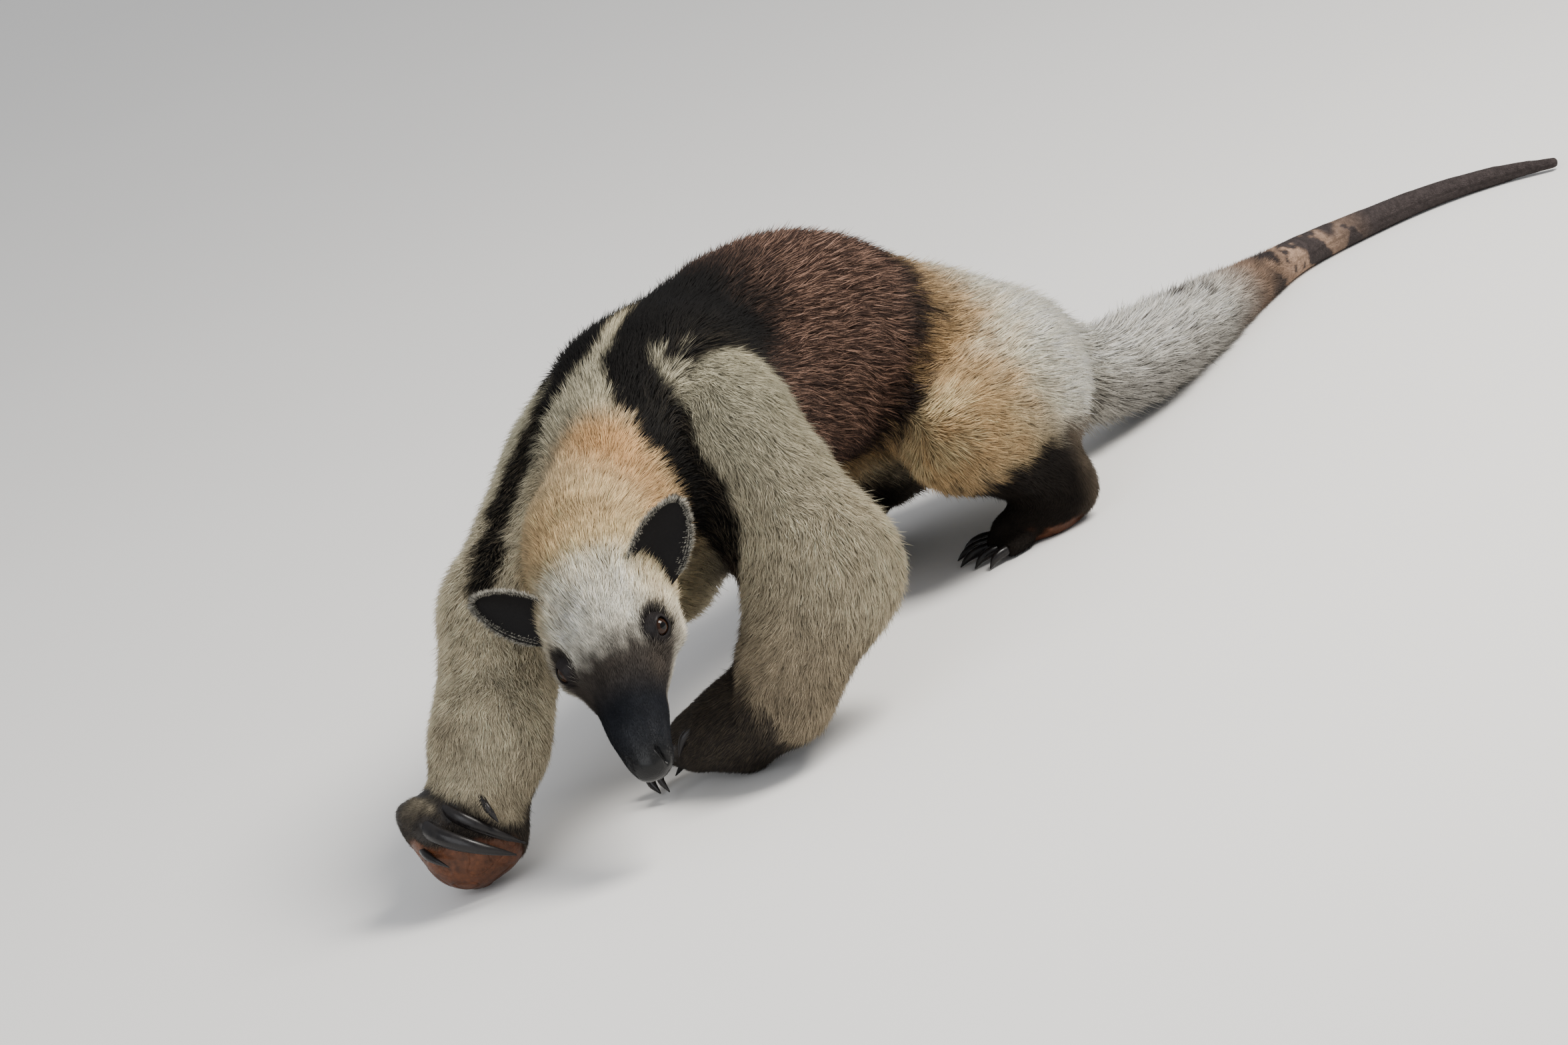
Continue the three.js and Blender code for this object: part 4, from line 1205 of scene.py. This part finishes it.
def toe_claw_paths(leg, inward):
    ahead = units((leg[4] - leg[3]) * vec(1, 1, 0))
    aside = vec(-ahead[1], ahead[0], 0)
    paths = []
    for index in range(-2, 3):
        fan = units(ahead + aside * index * 0.22)
        length = 13 * (1 - 0.07 * abs(index))
        root = leg[4] * vec(1, 1, 0) + aside * index * 6.2 - ahead * 1.5 * abs(index)
        reach = 17 * (1 - 0.1 * abs(index + inward))
        paths.append([root + fan * (length + 0.5 + share * reach) + UP * height
                      for share, height in ((-0.1, 5), (0.3, 4.9), (0.65, 3.6), (0.95, 0.9))])
    return paths


def make_claws():
    for host, claws in HAND_CLAWS.items():
        for ordinal, (radius, path) in zip(ORDINALS, claws):
            horn(f"claw_{host}_{ordinal}", radius, [at(*place) for place in path])
    for host, leg, inward in (("left_foot", LEFT_LEG, 1), ("right_foot", RIGHT_LEG, -1)):
        for ordinal, path in zip(ORDINALS, toe_claw_paths(leg, inward)):
            horn(f"claw_{host}_{ordinal}", TOE_CLAW, path)


# Eyes and lids

EYE_RINGS, EYE_SIDES = 36, 48
LID_SIDES = 64
LID_LONG, LID_TALL, LID_CURVE = 5.2, 3.8, 12.4
# how wide each row of a lid's points is, and how far it lifts off the eyeball
LID_ROWS = [(0.90, -0.7), (0.86, 0.25), (0.92, 0.75), (1.08, 0.95), (1.28, 0.75), (1.45, 0.35),
            (1.62, 0.4), (1.9, -0.2), (2.3, -1.6), (2.0, -3.0), (1.2, -2.6)]


def eye_axes(side):
    outward = units(TO_LEFT * side + TO_NOSE * 0.5 + TO_CROWN * 0.6)
    long = units(TO_NOSE - outward * (TO_NOSE @ outward))
    return outward, long, np.cross(outward, long)


def make_eye(name, side):
    outward, long, tall = eye_axes(side)
    turns = np.linspace(0, 2 * np.pi, EYE_SIDES, endpoint=False)
    rings = []
    for latitude in np.linspace(0.02, np.pi - 0.02, EYE_RINGS):
        bulge = 0.95 + 0.035 * float(rise(0.62, 0.95, np.cos(latitude)))
        rings.append(eye_place(side) + EYE_RADIUS * bulge * (
            outward * np.cos(latitude) + np.sin(latitude) * (
                np.cos(turns)[:, None] * long + np.sin(turns)[:, None] * tall)))
    points, faces = loft(rings)
    piece = piece_from(f"{name}_ball", points, faces, EYE, [name])
    gaze = units(points - eye_place(side)) @ outward
    give_numbers(piece.data, gaze, "gaze")


def make_lids(name, side):
    """The rim of the lids as a ring, rolled at its inner edge and sunk in the skin outside"""
    outward, long, tall = eye_axes(side)
    rings = []
    for turn in np.linspace(0, 2 * np.pi, LID_SIDES, endpoint=False):
        ring = []
        for wide, lift in LID_ROWS:
            a = LID_LONG * wide * np.cos(turn)
            b = LID_TALL * wide * np.sin(turn) * (1 - 0.12 * abs(np.cos(turn)))
            height = EYE_RADIUS * 0.96 - (a * a + b * b) / LID_CURVE + lift
            ring.append(eye_place(side) + long * a + tall * b + outward * height)
        rings.append(ring)
    rings.append(rings[0])
    points, faces = loft(rings, close_ends=False)
    piece = piece_from(name, points, faces, SKIN)
    weld(piece.data)
    count = len(piece.data.vertices)
    give_colours(piece.data, np.tile(LID_GREY * 0.7, (count, 1)))
    give_numbers(piece.data, np.full(count, 0.55), "gloss")


def weld(mesh):
    shape = bmesh.new()
    shape.from_mesh(mesh)
    bmesh.ops.remove_doubles(shape, verts=shape.verts, dist=1e-6)
    bmesh.ops.recalc_face_normals(shape, faces=shape.faces)
    shape.to_mesh(mesh)
    shape.free()


# Ears

EAR_LENGTH, EAR_WIDTH, EAR_WALL, EAR_CUP = 42, 27, 2.2, 6
EAR_TUFTS = 5200


def ear_axes(side):
    along = units(TO_NOSE * -0.57 + TO_LEFT * side * 0.78 + TO_CROWN * 0.43)
    opening = TO_NOSE + TO_LEFT * side * 0.5 + TO_CROWN * 0.75
    opening = units(opening - along * (opening @ along))
    return in_head(6, side * 22, 4), along, opening, units(np.cross(opening, along))


def make_ear(name, side):
    root, along, opening, across = ear_axes(side)
    rows, columns = 30, 26
    rings = []
    for row in range(rows + 1):
        t = 1 - (1 - row / rows) ** 1.35
        outline = np.sqrt(max(0.002, np.sin(np.pi * (0.14 + 0.86 * t))))
        half = EAR_WIDTH / 2 * outline - 0.25 * (1 - t)
        ring = []
        for face in (0, 1):
            for column in range(columns):
                s = (column / columns * 2 - 1) * (1 if face == 0 else -1)
                cup = EAR_CUP * (1 - s * s) * np.sin(np.pi * (0.9 - 0.75 * t))
                fold = 0.5 * np.exp(-((s - 0.35) / 0.12) ** 2) * rise(0.75, 0.3, t) * (face == 0)
                wall = 0.15 if face == 0 else EAR_WALL * (1 - 0.35 * t) - 0.15
                wall = wall * (1 if face == 0 else np.sqrt(max(0, 1 - s ** 6)))
                ring.append(root + along * (EAR_LENGTH - 0.3) * t + across * half * s
                            - opening * (cup + wall - fold))
        rings.append(ring)
    rings = np.array(rings)
    points, faces = loft(rings)
    piece = piece_from(f"{name}_shell", points, faces, EAR, [name])
    weld(piece.data)
    fringe_ear(name, rings, along, opening)


def fringe_ear(name, rings, along, opening):
    """The pale fuzz round the rim of an ear and the short black hair on its back"""
    rows, sides = rings.shape[:2]
    middle = rings.mean(axis=1, keepdims=True)
    count = EAR_TUFTS
    row = chance.uniform(0.12, 1, count) ** 0.8 * (rows - 1.01)
    rim = chance.uniform(size=count) < 0.36
    edge = np.where(chance.uniform(size=count) < 0.5, 0, sides // 2)
    column = np.where(rim, edge + chance.normal(0, 1.2, count),
                      chance.uniform(sides / 2, sides, count))
    low = row.astype(int)
    corner = np.round(column).astype(int) % sides
    points = mix(rings[low, corner], rings[low + 1, corner], (row - low)[:, None])
    out = units(points - middle[low, 0])
    tip = rise(0.8, 1.0, row / rows)
    normals = units(np.where(rim[:, None], out, -opening) - opening * 0.2)
    way = units(out * np.where(rim, 0.9, 0.25)[:, None] + along * (0.6 + tip)[:, None]
                + chance.normal(0, 0.34, (count, 3)) - opening * 0.25)
    length = (np.where(rim, 2.2, 2.0) + 1.4 * tip) * chance.uniform(0.5, 1.3, count)
    tone = np.where(rim, chance.uniform(0.2, 0.95, count) ** 1.6, 0.03)[:, None]
    flat = np.stack([0.05 + 0.9 * (column % sides) / sides, 0.05 + 0.9 * row / rows], axis=1)
    coat_piece(f"coat_{name}", "grizzled coat", points, normals, flat, way, length,
               np.full(count, 0.24), WHITE * tone * 0.6, WHITE * tone)


# The pieces

skin = dress_skin(make_skin())
pelt = Pelt(skin)
grow_coat(pelt)
make_claws()
for name, side in (("left", 1), ("right", -1)):
    make_eye(f"eye_{name}", side)
    make_lids(f"lids_{name}", side)
    make_ear(f"ear_{name}", side)

# Stage: floor, light and camera

FLOOR_DARK, FLOOR_PALE = (0.80, 0.79, 0.77, 1), (0.84, 0.83, 0.81, 1)
FLOOR_REACH = 30.0
CAMERA_PLACE = at(1971.8, -2431.7, 939.5)
AZIMUTH, ELEVATION, ROLL = np.radians((38, 15, 20))


def stage_finish():
    floor = Finish("pale floor", roughness=0.9, specular_ior_level=0.1)
    floor.set("Base Color", floor.blend(floor.noise(3), FLOOR_DARK, FLOOR_PALE))
    return floor.material


def make_floor():
    mesh = bpy.data.meshes.new("floor")
    corners = [(x * FLOOR_REACH, y * FLOOR_REACH, 0)
               for x, y in ((-1, -1), (1, -1), (1, 1), (-1, 1))]
    mesh.from_pydata(corners, [], [(0, 1, 2, 3)])
    mesh.materials.append(stage_finish())
    placed("floor", mesh)


def axes_matrix(right, up, forward, place):
    turned = Matrix((right, up, -forward)).transposed().to_4x4()
    turned.translation = place * MM
    return turned


def add_light(name, place, target, size, power, colour):
    light = bpy.data.lights.new(name, "AREA")
    light.size = size
    light.energy = power
    light.color = colour
    forward = units(target - place)
    right = units(np.cross(forward, UP))
    placed(name, light).matrix_world = axes_matrix(right, np.cross(right, forward), forward, place)


def add_camera():
    level_right = vec(np.cos(AZIMUTH), np.sin(AZIMUTH), 0)
    level_forward = vec(-np.sin(AZIMUTH), np.cos(AZIMUTH), 0)
    forward = level_forward * np.cos(ELEVATION) - UP * np.sin(ELEVATION)
    level_up = level_forward * np.sin(ELEVATION) + UP * np.cos(ELEVATION)
    right = level_right * np.cos(ROLL) - level_up * np.sin(ROLL)
    up = level_right * np.sin(ROLL) + level_up * np.cos(ROLL)
    lens = bpy.data.cameras.new("camera")
    lens.lens = 165
    lens.sensor_width = 36
    lens.sensor_fit = "HORIZONTAL"
    lens.clip_end = 100
    camera = placed("camera", lens)
    camera.matrix_world = axes_matrix(right, up, forward, CAMERA_PLACE)
    bpy.context.scene.camera = camera


def add_sky():
    world = bpy.data.worlds.new("studio")
    bpy.context.scene.world = world
    world.use_nodes = True
    sky = world.node_tree.nodes["Background"]
    sky.inputs["Color"].default_value = (0.86, 0.88, 0.92, 1)
    sky.inputs["Strength"].default_value = 0.62


make_floor()
add_sky()
BODY = at(-30, 120, 90)
for name, off, size, watts, colour in (
        ("key", (1100, 500, 1500), 0.9, 66, (1.0, 0.96, 0.9)),
        ("fill", (200, -1900, 900), 1.6, 20, (0.95, 0.97, 1.0))):
    add_light(name, BODY + vec(*off), BODY, size, watts, colour)
add_camera()
